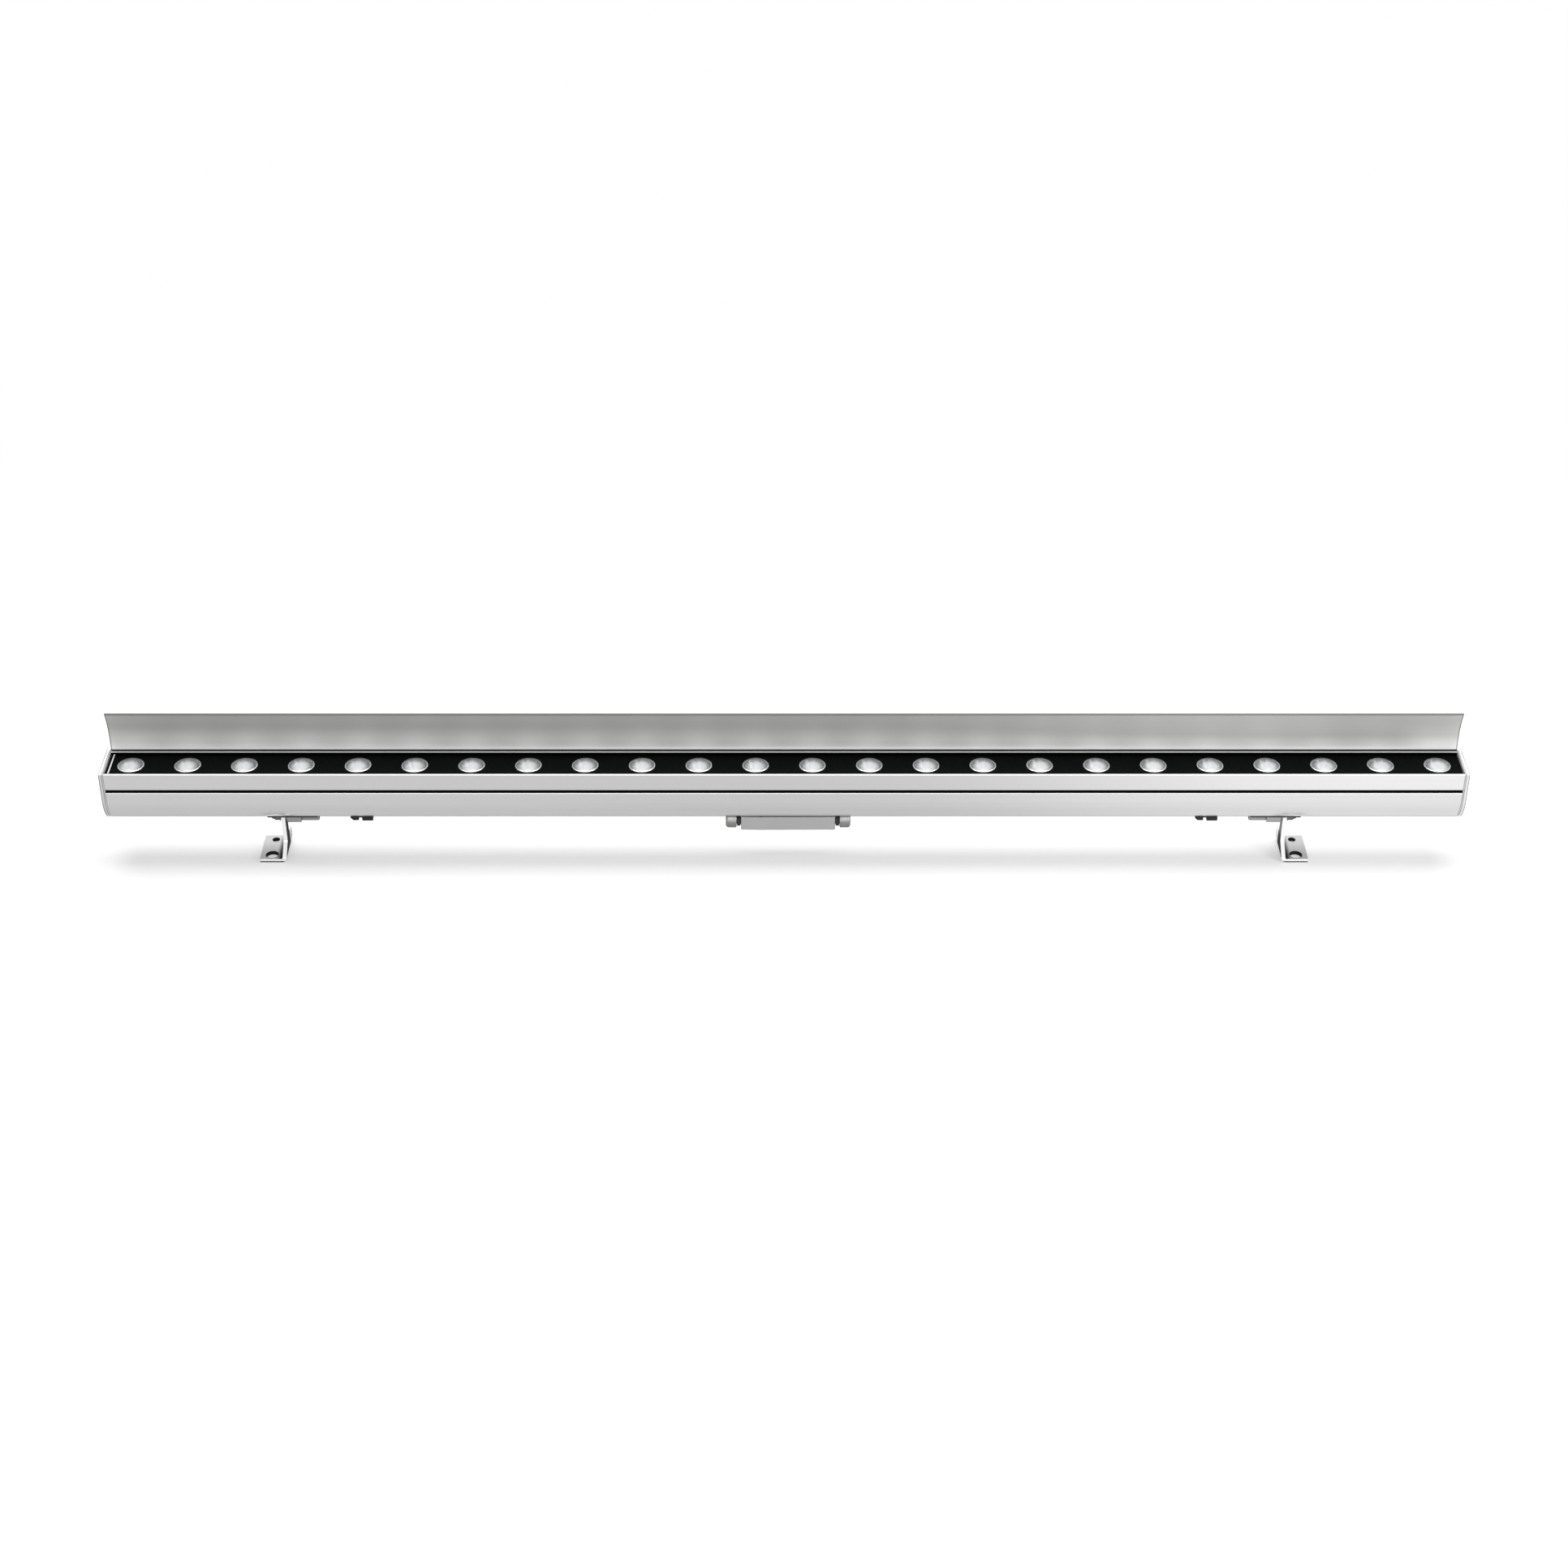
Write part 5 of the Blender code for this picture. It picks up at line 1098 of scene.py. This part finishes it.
def bent_foot(name, side):
    """The flat sheet with rounded edges, bent up into the foot of one side."""
    flat = softened(cut_out(name, foot_loops, SHEET, Matrix.Identity(4)), 0.0005, 3, 50)
    sheet = bmesh.new()
    sheet.from_mesh(flat.data)
    for step in range(13):
        level = FLAT_FOOT + BEND_LENGTH * step / 12
        bmesh.ops.bisect_plane(sheet, geom=sheet.verts[:] + sheet.edges[:] + sheet.faces[:],
                               plane_co=(0, level, 0), plane_no=(0, 1, 0))
    for spot in sheet.verts:
        y, level, lift = spot.co
        if level < FLAT_FOOT:
            x, z = FOOT_OUTER - level, SHEET / 2 + lift
        elif level < FLAT_FOOT + BEND_LENGTH:
            turn = (level - FLAT_FOOT) / BEND_MIDDLE
            reach = BEND_MIDDLE - lift
            x = BRACKET_X + BEND_RADIUS - reach * math.sin(turn)
            z = BEND_RADIUS - reach * math.cos(turn)
        else:
            x, z = BRACKET_X + SHEET / 2 + lift, level - FLAT_FOOT - BEND_LENGTH + BEND_RADIUS
        spot.co = (side * x, y, z)
    bmesh.ops.recalc_face_normals(sheet, faces=sheet.faces)
    sheet.to_mesh(flat.data)
    sheet.free()
    return softened(flat, 0)


for side, word in SIDES:
    fit(bent_foot("foot_sheet_" + word, side), polished, "stainless", word + "_foot",
        "bracket_" + word)


# Tilt pivots: a stainless bolt with a flanged socket head outside each arm, a plated washer
# between arm and lug, and a long hexagon nut behind the lug.
WASHER = 0.0008
bolt_rows = [(0, 0.0025), (0.0015, 0.0026, 6), (0.0015, 0.0046, 6), (0.0017, 0.0048),
             (0.0032, 0.0048), (0.0035, 0.0045), (0.0035, 0.0011), (0.0036, WASHER),
             (0.0039, WASHER), (0.0040, 0.0006), (0.0040, 0), (0.0020, 0), (0.0020, -0.0267),
             (0, -0.0267)]
washer_rows = [(PIVOT_BORE, 0.0007), (0.0024, WASHER), (0.0039, WASHER), (0.0040, 0.0007),
               (0.0040, 0.0001), (0.0039, 0), (0.0024, 0), (PIVOT_BORE, 0.0001)]
long_nut_rows = [(PIVOT_BORE, -0.0002), (0.0025, 0), (0.0034, 0), (0.0039, -0.0004, 6),
                 (0.0040, -0.0006, 6), (0.0040, -0.0120, 6), (0.0039, -0.0122, 6),
                 (0.0034, -0.0126), (0.0025, -0.0126), (PIVOT_BORE, -0.0124)]
for side, word in SIDES:
    fit_screw("tilt_bolt_" + word, bolt_rows,
              facing((side, 0, 0), (side * (BRACKET_X + SHEET + GAP), 0, PIVOT_Z)),
              "pivot_bolt_" + word)
    washer = turned("tilt_washer_" + word, washer_rows,
                    [facing((side, 0, 0), (side * (LUG_OUTER + GAP), 0, PIVOT_Z))], closed=True)
    fit(washer, nickel, "plated_steel", "body", "pivot_washer_" + word)
    nut = turned("tilt_nut_" + word, long_nut_rows,
                 [facing((side, 0, 0), (side * (LUG_INNER - GAP), 0, PIVOT_Z))], closed=True)
    fit(nut, nickel, "screw_steel", "body", "pivot_nut_" + word)


# Cable clips: small hooks sawn from an aluminium profile, each with one countersunk screw, a
# mouth for the cable and a slanted tongue. Both open the same way.
CLIP_X = 0.3120
CLIP_LENGTH = 0.0166
CLIP_BLOCK = 0.0081
CLIP_MOUTH = 0.0024
CLIP_TOP = 0.0382
CLIP_HEIGHT = 0.0040
CLIP_ROOF = 0.0012
CLIP_TONGUE = 0.0036
CLIP_SLANT = 0.0020
CLIP_DEPTH = 0.0062

# The clips are toned near black as painted shade, for the shadow under the body.
clip_metal_painted_shade = grained("clip_aluminium_shade_darkened", (1800, 80, 1800), grey(0.015), grey(0.07),
                     0.22, 0.15, 0.00001, metallic=1.0)
seat_rows = [(0, 0.0010), (HEAD_SEAT, 0.0010), (HEAD_SEAT, -0.0002),
             (SCREW_RADIUS + GAP, -SUNK_HEAD), (SCREW_RADIUS + GAP, -0.0050), (0, -0.0050)]
for side, word in SIDES:
    start = side * CLIP_X - CLIP_LENGTH / 2
    end = start + CLIP_LENGTH
    block = end - CLIP_BLOCK
    mouth = block - CLIP_MOUTH
    bottom = CLIP_TOP - CLIP_HEIGHT
    roof = CLIP_TOP - CLIP_ROOF
    tongue = CLIP_TOP - CLIP_TONGUE
    hook = [(start, CLIP_TOP, 0), (end, CLIP_TOP, 0), (end, bottom, 0.0006),
            (block, bottom, 0.0006), (block, roof, 0.0004), (mouth, roof, 0.0004),
            (mouth, tongue, 0.0004), (start + CLIP_SLANT, tongue, 0.0004),
            (start, tongue + CLIP_SLANT, 0.0003)]
    clip = cut_out("clip_hook_" + word, [rounded(hook, 4)], CLIP_DEPTH,
                   Matrix.Translation((0, -UNDER_SCREW_Y, 0)) @ ON_FRONT)
    seat = facing((0, 0, -1), (end - CLIP_BLOCK / 2, -UNDER_SCREW_Y, bottom))
    clip = cut(clip, turned("clip_hole", seat_rows, [seat]))
    fit(softened(clip, 0.00015, 2), clip_metal_painted_shade, "body_aluminium", "body", "cable_clip_" + word)
    fit_screw("clip_sunk_screw_" + word, sunk_screw(CLIP_HEIGHT + GAP + SCREW_BITE), seat,
              f"clip_screw_{word}_1")
